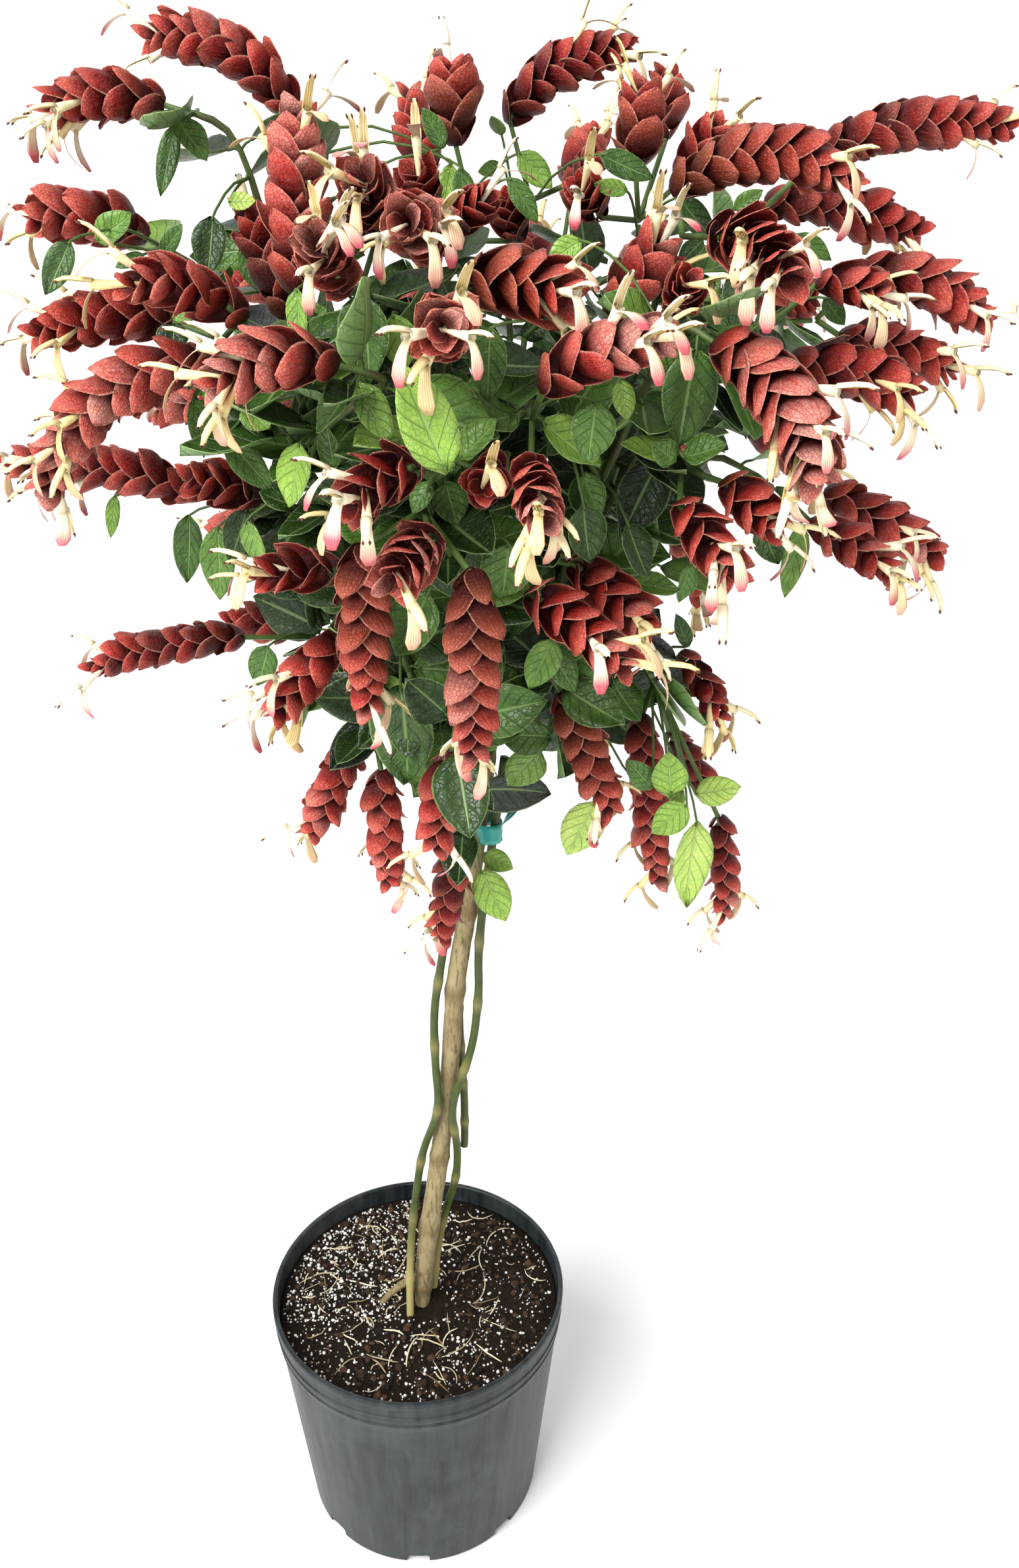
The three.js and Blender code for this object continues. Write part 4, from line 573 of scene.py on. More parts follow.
def findShoot(foot, ahead):  # nearest point of a bough from which a straight stalk touches nothing
    used = np.array([sum(gapTo(one["from"], point) < 5 for one in bough["leaves"])
                     for bough, point in shoots])
    cost = np.linalg.norm(shootPoints - foot, axis=1) + 25 * used
    for i in np.argsort(cost, kind="stable")[:120]:
        bough, point = shoots[i]
        if unit(foot - point) @ ahead < -0.1:
            continue
        points = np.array([mix(point, foot, k / 12) for k in range(1, 13)])
        if spaceAround(points, bough["name"], {"leaf": 3, "flower": 2.5}) < clearance["stalk"]:
            continue
        beyond = points[np.linalg.norm(points - point, axis=1) > 8]
        centres, radii, _ = ownBalls(bough)
        far = np.linalg.norm(centres - point, axis=1) > 7
        if len(beyond) == 0 or (gapsBetween(beyond, centres[far]) > radii[far][None] + 1.2).all():
            return bough, point
    return None


for *spot, width in chosenLeaves:
    for shift in (0, 8, -8, 16, -16, 26, -26, 38, -38):  # deeper or nearer, where it first finds room
        foot, tip = vec(*spot[:3]) + vec(0, shift, 0), vec(*spot[3:]) + vec(0, shift, 0)
        one = leafFrame(foot, tip, width, outward(tip))
        shoot = findShoot(foot, one["ahead"])
        if shoot and leafFits(shoot[0], one):
            bough, start = shoot
            keepLeaf(bough, one, start)
            addBalls([mix(start, foot, k / 6) for k in range(7)], roomOf["leafStalk"], bough["name"], "stem")
            break

draw = draws(ruledLeaves["seed"])
for bough in boughs.values():  # the other leaves stand in pairs along the twigs
    for route in bough["twigs"]:
        for i in range(bough["pairs"]):
            share = 0.45 + 0.45 * i / bough["pairs"]
            start, heading = pointOn(route, share), headingOn(route, share)
            for half in (0, 1):
                turn = i * 1.57 + half * pi + 0.5 * draw()
                length = ruledLeaves["length"] * (0.75 + 0.5 * draw())
                width = ruledLeaves["width"] / ruledLeaves["length"] * length
                for k in range(5):
                    out = around(turn + k * 0.5, *sideways(heading))
                    aim = unit(out + heading * 0.4 + vec(0, 0, -0.25))
                    foot, tip = start + aim * leaf["shortStalk"], start + aim * length
                    one = leafFrame(foot, tip, width, outward(start))
                    if leafFits(bough, one):
                        keepLeaf(bough, one, start)
                        break
print("leaves placed:", sum(len(bough["leaves"]) for bough in boughs.values()))


def hexColour(code):  # sRGB hex to the linear colour that nodes take
    parts = [int(code[i:i + 2], 16) / 255 for i in (1, 3, 5)]
    return (*[c / 12.92 if c <= 0.04045 else ((c + 0.055) / 1.055) ** 2.4 for c in parts], 1)


# Adds one node, whose kind may carry an operation. In its settings a text is a property's value, a hex colour
# or the label of the node that feeds the socket, with the output's name where that isn't the first one.
# Properties come before sockets, since they change which sockets there are.
def addNode(tree, nodes, label, kind, settings):
    kind, _, operation = kind.partition(" ")
    if label not in nodes:
        nodes[label] = tree.nodes.new("ShaderNode" + kind)
    node = nodes[label]
    if operation:
        node.operation = operation
    if kind == "Mix":
        node.data_type = "RGBA"
    for position, code in settings.get("stops", {}).items():
        stops = node.color_ramp.elements
        stop = stops[-position] if position in (0, 1) else stops.new(position)
        stop.color = hexColour(code)
    for key, value in settings.items():
        if key == "stops":
            continue
        if isinstance(key, str) and hasattr(node, key):
            setattr(node, key, value)
            continue
        socket = node.inputs[key] if isinstance(key, int) else next(
            one for one in node.inputs if one.name == key and not one.is_unavailable)
        if isinstance(value, str) and value[0] != "#":
            source, _, output = value.partition(".")
            tree.links.new(next(one for one in nodes[source].outputs
                                if not one.is_unavailable and output in ("", one.name)), socket)
        else:
            socket.default_value = hexColour(value) if isinstance(value, str) else value


# What a pattern can start from: the place on a shape, the shape's own shade, the place on the plant.
patternStarts = {
    "place": [("placeData", "Attribute", {"attribute_name": "place"}),
              ("place", "SeparateXYZ", {0: "placeData.Vector"})],
    "tone": [("toneData", "Attribute", {"attribute_name": "tone"}),
             ("tone", "SeparateXYZ", {0: "toneData.Vector"})],
    "spot": [("spot", "TexCoord", {})],
}
finishes = {}


def makeFinish(look, name, surface, rows=()):
    finish = finishes[look] = bpy.data.materials.new(name)
    finish.use_nodes = True
    nodes = {"surface": finish.node_tree.nodes["Principled BSDF"]}
    used = {value.split(".")[0] for row in rows for value in row[2].values() if isinstance(value, str)}
    starts = [row for start, group in patternStarts.items() if start in used for row in group]
    for label, kind, settings in [*starts, *rows, ("surface", "BsdfPrincipled", surface)]:
        addNode(finish.node_tree, nodes, label, kind, settings)


# Papery living bract: matt with a faint waxy bloom, fine raised parallel veins.
makeFinish("bract", "living bract tissue, waxy and veined", {
    "Roughness": 0.44, "Specular IOR Level": 0.24, "Base Color": "netted", "Normal": "relief"}, [
    # patches of 5 mm
    ("mottle", "TexNoise", {"Scale": 210, "Detail": 5, "Roughness": 0.6, "Vector": "spot.Object"}),
    ("patchy", "Math MULTIPLY_ADD", {0: "mottle", 1: 0.7, 2: -0.35}),
    ("shade", "Math ADD", {0: "patchy", 1: "tone.X"}),
    ("red", "ValToRGB", {"Fac": "shade", "stops": {
        0: "#440302", 0.26: "#981510", 0.5: "#CF342A", 0.76: "#EB6E60", 1: "#F6A99B"}}),
    ("olive", "Mix", {"Factor": "tone.Z", "A": "red", "B": "#8A4A28"}),
    # painted shade: darker where the bract comes out of the ones below; painted highlight: paler at its tip
    ("foot", "MapRange", {
        "Value": "place.Y", "From Min": 0.25, "From Max": 0.85, "To Min": 0.95, "To Max": 0}),
    ("dark", "Mix", {"Factor": "foot", "A": "olive", "B": "#340201"}),
    # painted highlight, mixed in towards the bract's tip
    ("tip", "MapRange", {"Value": "place.Y", "From Min": 0.6, "From Max": 1, "To Max": 0.45}),
    ("tipped", "Mix", {"Factor": "tip", "A": "dark", "B": "#EE8E7C"}),
    ("side", "Math ABSOLUTE", {0: "place.X"}),
    ("across", "Math MULTIPLY", {0: "side", 1: 25}),  # 9 veins a bract
    ("wave", "Math COSINE", {0: "across"}),
    ("vein", "MapRange", {"Value": "wave", "From Min": 0.55, "From Max": 1, "To Max": 0.3}),
    ("veined", "Mix", {"Factor": "vein", "A": "tipped", "B": "#6B1F20"}),
    # pale rim along the edges: partly the bract's own cream edge, partly painted sheen
    ("rim", "MapRange", {"Value": "side", "From Min": 0.9, "From Max": 1, "To Max": 0.7}),
    ("edged", "Mix", {"Factor": "rim", "A": "veined", "B": "#E6A48C"}),
    # fine net between the veins, cells of 2 mm
    ("net", "TexVoronoi", {"feature": "DISTANCE_TO_EDGE", "Scale": 520, "Vector": "spot.Object"}),
    ("mesh", "MapRange", {"Value": "net", "From Min": 0.14, "From Max": 0}),
    ("faint", "Math MULTIPLY", {0: "mesh", 1: 0.45}),
    ("netted", "Mix", {"Factor": "faint", "A": "edged", "B": "#4E1210"}),
    ("bumps", "Math MULTIPLY", {0: "mottle", 1: 2}),
    ("cells", "Math MULTIPLY_ADD", {0: "mesh", 1: -0.35, 2: "bumps"}),
    ("high", "Math ADD", {0: "vein", 1: "cells"}),
    ("relief", "Bump", {"Strength": 0.8, "Distance": 0.001, "Height": "high"}),
])

# Thin fleshy petal: cream, satin; the lower lip (place Z 2) is striped maroon and blushes pink. Z 3 is a
# stamen's thread and 4 its anther.
makeFinish("petal", "fresh petal, satin cream", {
    "Roughness": 0.45, "Specular IOR Level": 0.4, "Base Color": "colour", "Normal": "relief"}, [
    ("cream", "Mix", {"Factor": "tone.Y", "A": "#FDF3D8", "B": "#F0DC9A"}),
    ("lip", "Math COMPARE", {0: "place.Z", 1: 2, 2: 0.3}),
    ("outer", "MapRange", {"Value": "place.Y", "From Min": 0.45, "From Max": 0.95, "To Max": 1.3}),
    ("outerLip", "Math MULTIPLY", {0: "outer", 1: "lip"}),
    ("fresh", "Math SUBTRACT", {0: 1.05, 1: "tone.Y"}),
    ("blush", "Math MULTIPLY", {"use_clamp": True, 0: "outerLip", 1: "fresh"}),
    ("pink", "Mix", {"Factor": "blush", "A": "cream", "B": "#D8646E"}),
    ("side", "Math ABSOLUTE", {0: "place.X"}),
    ("across", "Math MULTIPLY", {0: "side", 1: 19}),
    ("wave", "Math COSINE", {0: "across"}),
    ("line", "MapRange", {"Value": "wave", "From Min": 0.5, "From Max": 1, "To Max": 0.6}),
    ("stripe", "Math MULTIPLY", {0: "line", 1: "lip"}),
    ("striped", "Mix", {"Factor": "stripe", "A": "pink", "B": "#A53048"}),
    ("thread", "Math GREATER_THAN", {0: "place.Z", 1: 2.5}),
    ("threaded", "Mix", {"Factor": "thread", "A": "striped", "B": "#CDB878"}),
    ("anther", "Math GREATER_THAN", {0: "place.Z", 1: 3.5}),
    ("colour", "Mix", {"Factor": "anther", "A": "threaded", "B": "#5A2A22"}),
    ("crease", "TexNoise", {"Scale": 350, "Detail": 3, "Vector": "spot.Object"}),  # 3 mm creases
    ("relief", "Bump", {"Strength": 0.6, "Distance": 0.0006, "Height": "crease"}),
])

# Soft leaf: half-glossy green, paler below, sunk feathered veins.
makeFinish("leaf", "living leaf, half gloss", {
    "Roughness": 0.36, "Specular IOR Level": 0.45, "Base Color": "edged", "Normal": "relief"}, [
    ("mottle", "TexNoise", {"Scale": 110, "Detail": 3, "Vector": "spot.Object"}),  # 9 mm patches
    ("patchy", "Math MULTIPLY_ADD", {0: "mottle", 1: 0.3, 2: -0.15}),
    ("shade", "Math ADD", {0: "patchy", 1: "tone.X"}),
    ("green", "ValToRGB", {"Fac": "shade", "stops": {
        0: "#0A1605", 0.28: "#2A4614", 0.52: "#557B31", 0.8: "#9AC04E", 1: "#C4DC74"}}),
    ("under", "Math MULTIPLY", {0: "tone.Z", 1: 0.55}),
    ("pale", "Mix", {"Factor": "under", "A": "green", "B": "#86A86C"}),
    ("side", "Math ABSOLUTE", {0: "place.X"}),
    # side veins leave the midrib forwards
    ("slant", "Math MULTIPLY_ADD", {0: "side", 1: -0.32, 2: "place.Y"}),
    ("along", "Math MULTIPLY", {0: "slant", 1: 33}),
    ("wave", "Math COSINE", {0: "along"}),
    ("feather", "MapRange", {"Value": "wave", "From Min": 0.86, "From Max": 1}),
    # net between the veins, cells of 3 mm
    ("net", "TexVoronoi", {"feature": "DISTANCE_TO_EDGE", "Scale": 330, "Vector": "spot.Object"}),
    ("mesh", "MapRange", {"Value": "net", "From Min": 0.1, "From Max": 0, "To Max": 0.35}),
    ("rows", "Math MAXIMUM", {0: "feather", 1: "mesh"}),
    ("rib", "MapRange", {"Value": "side", "From Min": 0.09, "From Max": 0.03}),
    ("veins", "Math MAXIMUM", {0: "rows", 1: "rib"}),
    ("faint", "Math MULTIPLY", {0: "rows", 1: 0.35}),
    ("sunk", "Mix", {"Factor": "faint", "A": "pale", "B": "#18330F"}),
    ("light", "Math MULTIPLY", {0: "rib", 1: 0.45}),
    ("veined", "Mix", {"Factor": "light", "A": "sunk", "B": "#8FAE6A"}),
    ("rim", "MapRange", {"Value": "side", "From Min": 0.93, "From Max": 1, "To Max": 0.5}),
    ("edged", "Mix", {"Factor": "rim", "A": "veined", "B": "#A9C07A"}),
    ("relief", "Bump", {"Strength": 0.8, "Distance": 0.0008, "invert": True, "Height": "veins"}),
])


# Green stem skin: satin, with lengthwise streaks and darker nodes.
def stemRows(low, high, joint):
    return [
        ("mottle", "TexNoise", {"Scale": 120, "Detail": 4, "Vector": "spot.Object"}),  # 8 mm patches
        ("skin", "Mix", {"Factor": "mottle", "A": low, "B": high}),
        ("around", "Math MULTIPLY", {0: "place.X", 1: 3}),
        ("lengthwise", "CombineXYZ", {0: "around", 1: "place.Y"}),
        ("streak", "TexNoise", {"Scale": 3, "Detail": 2, "Vector": "lengthwise"}),
        ("knot", "Math MULTIPLY", {0: "place.Z", 1: 0.7}),
        ("knotted", "Mix", {"Factor": "knot", "A": "skin", "B": joint}),
        ("relief", "Bump", {"Strength": 0.4, "Distance": 0.0004, "Height": "streak"}),
    ]


makeFinish("twig", "young stem skin, light green", {
    "Roughness": 0.5, "Specular IOR Level": 0.4, "Base Color": "knotted", "Normal": "relief"},
    stemRows("#2E4420", "#647F3A", "#4A3B2A"))

makeFinish("vine", "older stem skin, olive green", {
    "Roughness": 0.5, "Specular IOR Level": 0.4, "Base Color": "footed", "Normal": "relief"}, [
    *stemRows("#1F280B", "#4B5A1D", "#857C48"),
    ("height", "SeparateXYZ", {0: "spot.Object"}),
    # the skin turns pale and corky towards the soil
    ("corky", "MapRange", {"Value": "height.Z", "From Min": 0.3, "From Max": 0.235}),
    ("footed", "Mix", {"Factor": "corky", "A": "knotted", "B": "#B4A870"}),
])

# Young woody bark: dry and beige, cracked lengthwise, with darker scars at the rings.
makeFinish("bark", "young bark, dry beige", {
    "Roughness": 0.85, "Specular IOR Level": 0.2, "Base Color": "scarred", "Normal": "relief"}, [
    ("drawn", "Mapping", {"Scale": (1, 1, 0.16), "Vector": "spot.Object"}),
    ("crack", "TexNoise", {"Scale": 420, "Detail": 5, "Roughness": 0.65, "Vector": "drawn"}),
    ("blotch", "TexNoise", {"Scale": 60, "Detail": 4, "Vector": "spot.Object"}),  # 16 mm blotches
    ("base", "Mix", {"Factor": "blotch", "A": "#5F5133", "B": "#B7A77E"}),
    ("lines", "MapRange", {"Value": "crack", "From Min": 0.5, "From Max": 0.66, "To Max": 0.85}),
    ("cracked", "Mix", {"Factor": "lines", "A": "base", "B": "#4E4028"}),
    ("scar", "Math MULTIPLY", {0: "place.Z", 1: 0.7}),
    ("scarred", "Mix", {"Factor": "scar", "A": "cracked", "B": "#6E5C3C"}),
    ("relief", "Bump", {"Strength": 0.6, "Distance": 0.001, "Height": "crack"}),
])

# Moulded polythene: slate grey, satin, scuffed upright streaks and patches of dust.
makeFinish("pot", "moulded polythene, slate grey", {
    "Roughness": "rough", "Specular IOR Level": 0.32, "Base Color": "dusty", "Normal": "relief"}, [
    ("drawn", "Mapping", {"Scale": (1, 1, 0.06), "Vector": "spot.Object"}),
    ("streak", "TexNoise", {"Scale": 110, "Detail": 8, "Roughness": 0.65, "Vector": "drawn"}),  # 9 mm wide
    ("dust", "TexNoise", {"Scale": 22, "Detail": 6, "Roughness": 0.65, "Vector": "spot.Object"}),
    ("scuff", "MapRange", {"Value": "streak", "From Min": 0.3, "From Max": 0.7}),
    ("base", "Mix", {"Factor": "scuff", "A": "#0C1011", "B": "#30373A"}),
    ("smear", "MapRange", {"Value": "dust", "From Min": 0.48, "From Max": 0.78, "To Max": 0.55}),
    ("dusty", "Mix", {"Factor": "smear", "A": "base", "B": "#4E5351"}),
    ("rough", "MapRange", {"Value": "dust", "To Min": 0.34, "To Max": 0.55}),
    ("relief", "Bump", {"Strength": 0.25, "Distance": 0.0006, "Height": "streak"}),
])

# Moist peat mix: nearly black crumbs with brown fibres, no gloss.
makeFinish("soil", "moist peat potting mix", {
    "Roughness": 0.95, "Specular IOR Level": 0.15, "Base Color": "damp", "Normal": "relief"}, [
    ("crumb", "TexNoise", {"Scale": 380, "Detail": 6, "Roughness": 0.7, "Vector": "spot.Object"}),
    ("patch", "TexNoise", {"Scale": 70, "Detail": 4, "Vector": "spot.Object"}),  # 14 mm patches
    ("shade", "MapRange", {"Value": "crumb", "From Min": 0.35, "From Max": 0.7}),
    ("base", "Mix", {"Factor": "shade", "A": "#0A0705", "B": "#38281A"}),
    ("damp", "Mix", {"Factor": "patch", "A": "base", "B": "#15100C"}),
    ("relief", "Bump", {"Strength": 1, "Distance": 0.002, "Height": "crumb"}),
])

# Stretched vinyl nursery tape: teal, glossy, cloudy where it is pulled thin.
makeFinish("tape", "stretched vinyl tape, teal", {
    "Roughness": 0.28, "Specular IOR Level": 0.5, "Base Color": "base", "Normal": "relief"}, [
    ("pull", "TexNoise", {"Scale": 140, "Detail": 4, "Vector": "spot.Object"}),  # 7 mm clouds
    ("base", "Mix", {"Factor": "pull", "A": "#12827C", "B": "#3DB8AC"}),
    ("relief", "Bump", {"Strength": 0.5, "Distance": 0.001, "Height": "pull"}),
])

# Loose bits in the soil, dull and each its own shade: puffed volcanic grains, chips of bark, dry fibres.
for look, name, low, high, roughness, scale in (
        ("perlite", "expanded perlite grains, chalky", "#B5B1A6", "#FBF9F4", 0.8, 900),
        ("crumb", "composted bark crumbs", "#0E0A08", "#4E3826", 0.9, 600),
        ("straw", "dead straw and root fibre", "#8A7650", "#F0E6C4", 0.8, 300)):
    makeFinish(look, name, {
        "Roughness": roughness, "Specular IOR Level": 0.25, "Base Color": "base", "Normal": "relief"}, [
        ("grain", "TexNoise", {"Scale": scale, "Detail": 4, "Vector": "spot.Object"}),
        ("shade", "Math MULTIPLY_ADD", {0: "grain", 1: 0.5, 2: "tone.X"}),
        ("evened", "Math SUBTRACT", {0: "shade", 1: 0.25}),
        ("base", "Mix", {"Factor": "evened", "A": low, "B": high}),
        ("relief", "Bump", {"Strength": 0.7, "Distance": 0.0006, "Height": "grain"}),
    ])

# Seamless studio paper: white and dull.
makeFinish("paper", "seamless studio paper", {
    "Roughness": 0.9, "Specular IOR Level": 0.1, "Base Color": "#FFFFFF"})
print("finishes made")


def heapOf():  # gathers many shapes into one mesh; points in millimetres
    return {"points": [], "quads": [], "tris": [], "place": [], "tone": [], "quadLook": [], "triLook": [],
            "count": 0}


def addShape(heap, shape, points=None, tone=(0.5, 0.5, 0), look=0):
    points = shape["points"] if points is None else points
    count = len(points)
    heap["points"].append(points)
    heap["place"].append(shape["place"])
    heap["tone"].append(np.broadcast_to(np.asarray(tone, float), (count, 3)))
    for kind, lookOf in (("quads", "quadLook"), ("tris", "triLook")):
        if len(shape[kind]):
            heap[kind].append(shape[kind] + heap["count"])
            heap[lookOf].append(np.full(len(shape[kind]), look))
    heap["count"] += count


def joinPlant(piece, name, looks, node):  # names a piece, dresses it, hangs it under the root and hides the part that it stands for
    piece.name = piece.data.name = name
    piece.data.materials.clear()
    for look in looks:
        piece.data.materials.append(finishes[look])
    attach(piece, "root")
    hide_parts(node)


def makePiece(name, heap, looks, node):
    mesh = bpy.data.meshes.new(name)
    faces = [face for kind in ("quads", "tris") for group in heap[kind] for face in group.tolist()]
    mesh.from_pydata(np.concatenate(heap["points"]) / 1000, [], faces)
    for label in ("place", "tone"):
        values = np.concatenate(heap[label]).astype(np.float32)
        mesh.attributes.new(label, "FLOAT_VECTOR", "POINT").data.foreach_set("vector", values.ravel())
    piece = bpy.data.objects.new(name, mesh)
    bpy.context.collection.objects.link(piece)
    joinPlant(piece, name, looks, node)
    chosen = np.concatenate([*heap["quadLook"], *heap["triLook"]]).astype(np.int32)
    mesh.polygons.foreach_set("material_index", chosen)
    mesh.polygons.foreach_set("use_smooth", np.ones(len(chosen), bool))
    mesh.update()


def pointsOf(piece):
    return np.array([vertex.co for vertex in piece.data.vertices]) * 1000


def movePoints(piece, points):
    piece.data.vertices.foreach_set("co", (points / 1000).ravel())


def thicken(piece, thickness):  # gives a sheet its thickness, half to each side
    solid = piece.modifiers.new("sheet thickness", "SOLIDIFY")
    solid.thickness, solid.offset = thickness / 1000, 0
    bpy.ops.object.modifier_apply(modifier=solid.name)


def shapeOf(piece):  # turns a modelled master into arrays and takes it off the scene
    faces = [list(face.vertices) for face in piece.data.polygons]
    shape = {"points": pointsOf(piece), "place": np.zeros((len(piece.data.vertices), 3)),
             "quads": np.array([face for face in faces if len(face) == 4], int).reshape(-1, 4),
             "tris": np.array([face for face in faces if len(face) == 3], int).reshape(-1, 3)}
    bpy.data.objects.remove(piece)
    return shape


# A thin sheet: a grid whose rows are resized to their widths, bent by a rule and given its thickness.
def sheetMaster(name, across, along, widths, bend, thickness):
    bpy.ops.mesh.primitive_grid_add(x_subdivisions=across, y_subdivisions=along, size=0.002)
    piece = bpy.context.object
    piece.name = name
    grid = pointsOf(piece)
    side, u = grid[:, 0], np.clip((grid[:, 1] + 1) / 2, 0, 1)
    movePoints(piece, bend(side, u, np.interp(u, *zip(*widths))))
    thicken(piece, thickness)
    made = shapeOf(piece)
    made["side"], made["u"] = np.tile(side, 2), np.tile(u, 2)
    made["under"] = np.repeat([0.0, 1.0], len(side))
    made["place"] = np.column_stack([made["side"], made["u"], made["under"] * 0])
    return made


def framesAlong(points):  # directions along a route that turn as little as they can
    ahead = np.gradient(points, axis=0)
    up = sideways(unit(ahead[0]))[1]
    frames = []
    for one in ahead:
        one = unit(one)
        right = crossed(one, up)
        up = crossed(right, one)
        frames.append((right, up, one))
    return [np.array(part) for part in zip(*frames)]


def lengthsAlong(points):
    return np.concatenate([[0], np.cumsum(np.linalg.norm(np.diff(points, axis=0), axis=1))])


def tubeShape(route, radii, sides, knots=0):  # a closed round limb along a route
    route = np.asarray(route, float)
    count = len(route)
    right, up, _ = framesAlong(route)
    radii = np.broadcast_to(np.asarray(radii, float), (count,))
    turn = np.arange(sides) * 2 * pi / sides
    ring = right[:, None] * np.sin(turn)[None, :, None] + up[:, None] * np.cos(turn)[None, :, None]
    points = (route[:, None] + radii[:, None, None] * ring).reshape(-1, 3)
    start = np.arange(count - 1)[:, None] * sides
    j = np.arange(sides)[None]
    nextJ = (j + 1) % sides
    quads = np.stack([start + j, start + nextJ, start + sides + nextJ, start + sides + j], -1).reshape(-1, 4)
    last = count * sides
    tris = [[last, k, (k + 1) % sides][::-1] for k in range(sides)]
    tris += [[last + 1, last - sides + (k + 1) % sides, last - sides + k][::-1] for k in range(sides)]
    ends = [route[0] + (route[0] - route[1]) * 0.01, route[-1] + (route[-1] - route[-2]) * 0.01]
    along = lengthsAlong(route) / 1000
    knots = np.broadcast_to(np.asarray(knots, float), (count,))
    place = np.column_stack([np.tile(turn / pi, count), np.repeat(along, sides), np.repeat(knots, sides)])
    place = np.vstack([place, [[0, 0, 0], [0, along[-1], 0]]])
    return {"points": np.vstack([points, ends]), "quads": quads, "tris": np.array(tris), "place": place}


# A bract: broad and heart shaped, cupped round the axis like a spoon. It is drawn for a spike whose girth
# radius is the one given here, and scaled to each spike.
bractLook = {"length": 21.6, "halfWidth": 11.6, "foot": 3.2, "girth": 13.9, "cup": 12.5, "keel": 0.4,
             "flare": 0.02, "thickness": 0.3, "spacing": 6.4, "across": 4, "along": 7,
             "widths": ((0, 0.42), (0.15, 0.84), (0.32, 1.0), (0.5, 0.98), (0.68, 0.82), (0.84, 0.55),
                        (0.94, 0.3), (1, 0.04))}


def bendBract(side, u, width):
    s = side * width * bractLook["halfWidth"]
    lift = bractLook["foot"] + (bractLook["girth"] - bractLook["foot"]) * (1 - (1 - u) ** 2.1)
    lift = lift + bractLook["flare"] * bractLook["length"] * u ** 3
    x = bractLook["cup"] * np.sin(s / bractLook["cup"])
    spoon = bractLook["cup"] * (1 - np.cos(s / bractLook["cup"]))
    z = lift - mix(spoon, bractLook["keel"] * np.abs(s), 0.55)  # half a spoon, half a roof with a keel
    return np.column_stack([x, bractLook["length"] * u * 0.95, z])


bractMaster = sheetMaster("bractMaster", bractLook["across"], bractLook["along"], bractLook["widths"],
                          bendBract, bractLook["thickness"])

# A flower, with its throat at the origin, Y ahead and Z up, for a flower 33 mm long.
petalLook = {"thickness": 0.3, "tube": 25, "throat": 2.9, "hoodTurn": 1.25, "upper": 19, "lower": 17,
             "tongue": 3.8, "tongueStart": 0.5, "tongueTurn": 1.15,
             "upperWidths": ((0, 1), (0.5, 0.9), (0.85, 0.7), (1, 0.3)),
             "lowerWidths": ((0, 0.6), (0.3, 0.7), (0.6, 0.95), (0.82, 1.05), (1, 0.5))}


def bendUpper(side, u, width):
    turn = side * petalLook["hoodTurn"]  # the hood wraps half round the throat
    reach = petalLook["throat"] * width
    return np.column_stack([reach * np.sin(turn), -1 + petalLook["upper"] * u,
                            0.4 + reach * np.cos(turn) + 3.4 * np.sin(u * 1.7) - 1.2 * u])


def bendLower(side, u, width):
    s = side * width * petalLook["tongue"]
    first, more = petalLook["tongueStart"], petalLook["tongueTurn"]
    turn = first + more * u
    y = -1 + petalLook["lower"] * (np.sin(turn) - np.sin(first)) / more
    z = -1.2 + petalLook["lower"] * (np.cos(turn) - np.cos(first)) / more * 1.35
    return np.column_stack([s, y, z - 0.07 * s ** 2 * (1 - u) + 0.05 * s ** 2 * u])


def makeFlowerMaster():  # place Z: 0 tube, 1 upper lip, 2 lower lip, 3 thread, 4 anther
    along = np.linspace(-petalLook["tube"], 0.5, 5)
    route = np.column_stack([along * 0, along, 0.02 * along])
    tube = tubeShape(route, [1.0, 1.5, 2.0, 2.5, petalLook["throat"]], 7)
    tube["points"][-1] = (0, -5, 0)  # hollow throat
    parts = [(tube, 0),
             (sheetMaster("upperLip", 4, 4, petalLook["upperWidths"], bendUpper, petalLook["thickness"]), 1),
             (sheetMaster("lowerLip", 4, 5, petalLook["lowerWidths"], bendLower, petalLook["thickness"]), 2)]
    for x in (-0.7, 0.7):
        thread = [[x, -2, 1], [x, 7, 2.4], [x * 1.6, 13, 3.2], [x * 2.2, 17, 2.6]]
        parts.append((tubeShape(thread, 0.36, 3), 3))
        parts.append((tubeShape([[x * 2.2, 16.2, 2.4], [x * 2.2, 17.4, 2.5], [x * 2.2, 18.8, 2.2]],
                                [0.35, 0.75, 0.3], 4), 4))
    heap = heapOf()
    for shape, kind in parts:
        if kind not in (1, 2):
            shape["place"][:] = 0
        shape["place"][:, 2] = kind
        addShape(heap, shape)
    return {part: np.concatenate(heap[part]) for part in ("points", "quads", "tris", "place")}


flowerMaster = makeFlowerMaster()

# A leaf's outline as shares of its half width; its bend is the growth plan's own. Some leaves, by their
# number on a bough, have a tone of their own. Low leaves and those edge-on to the seen side are turned to it.
leafLook = {"thickness": 0.4, "across": 4, "along": 8, "brightBelow": 790, "turnedBelow": 730, "edgeOn": 0.55,
            "widths": ((0, 0.12), (0.06, 0.5), (0.17, 0.88), (0.32, 1.06), (0.5, 1.06), (0.66, 0.93),
                       (0.8, 0.68), (0.92, 0.33), (1, 0.02)),
            "ownTones": {"bough_front_mid": {0: 0.72}, "bough_left_front": {6: 0.74},
                         "bough_left_low": {4: 0.6, 5: 0.62}, "bough_right_high": {10: 0.66},
                         "bough_front_low": {0: 0.56, 1: 0.34, 2: 0.78, 3: 0.7},
                         "bough_left_high": {12: 0.6}, "bough_right_low": {11: 0.62}}}
leafMaster = sheetMaster("leafMaster", leafLook["across"], leafLook["along"], leafLook["widths"],
                         lambda side, u, width: np.column_stack([side * width, u, side * 0]),
                         leafLook["thickness"])
print("masters modelled")

rng = np.random.default_rng(7)
toneOf = {"b": 0.56, "c": 0.8, "d": 0.32, "o": 0.58}
seenSide = vec(*view["spot"])


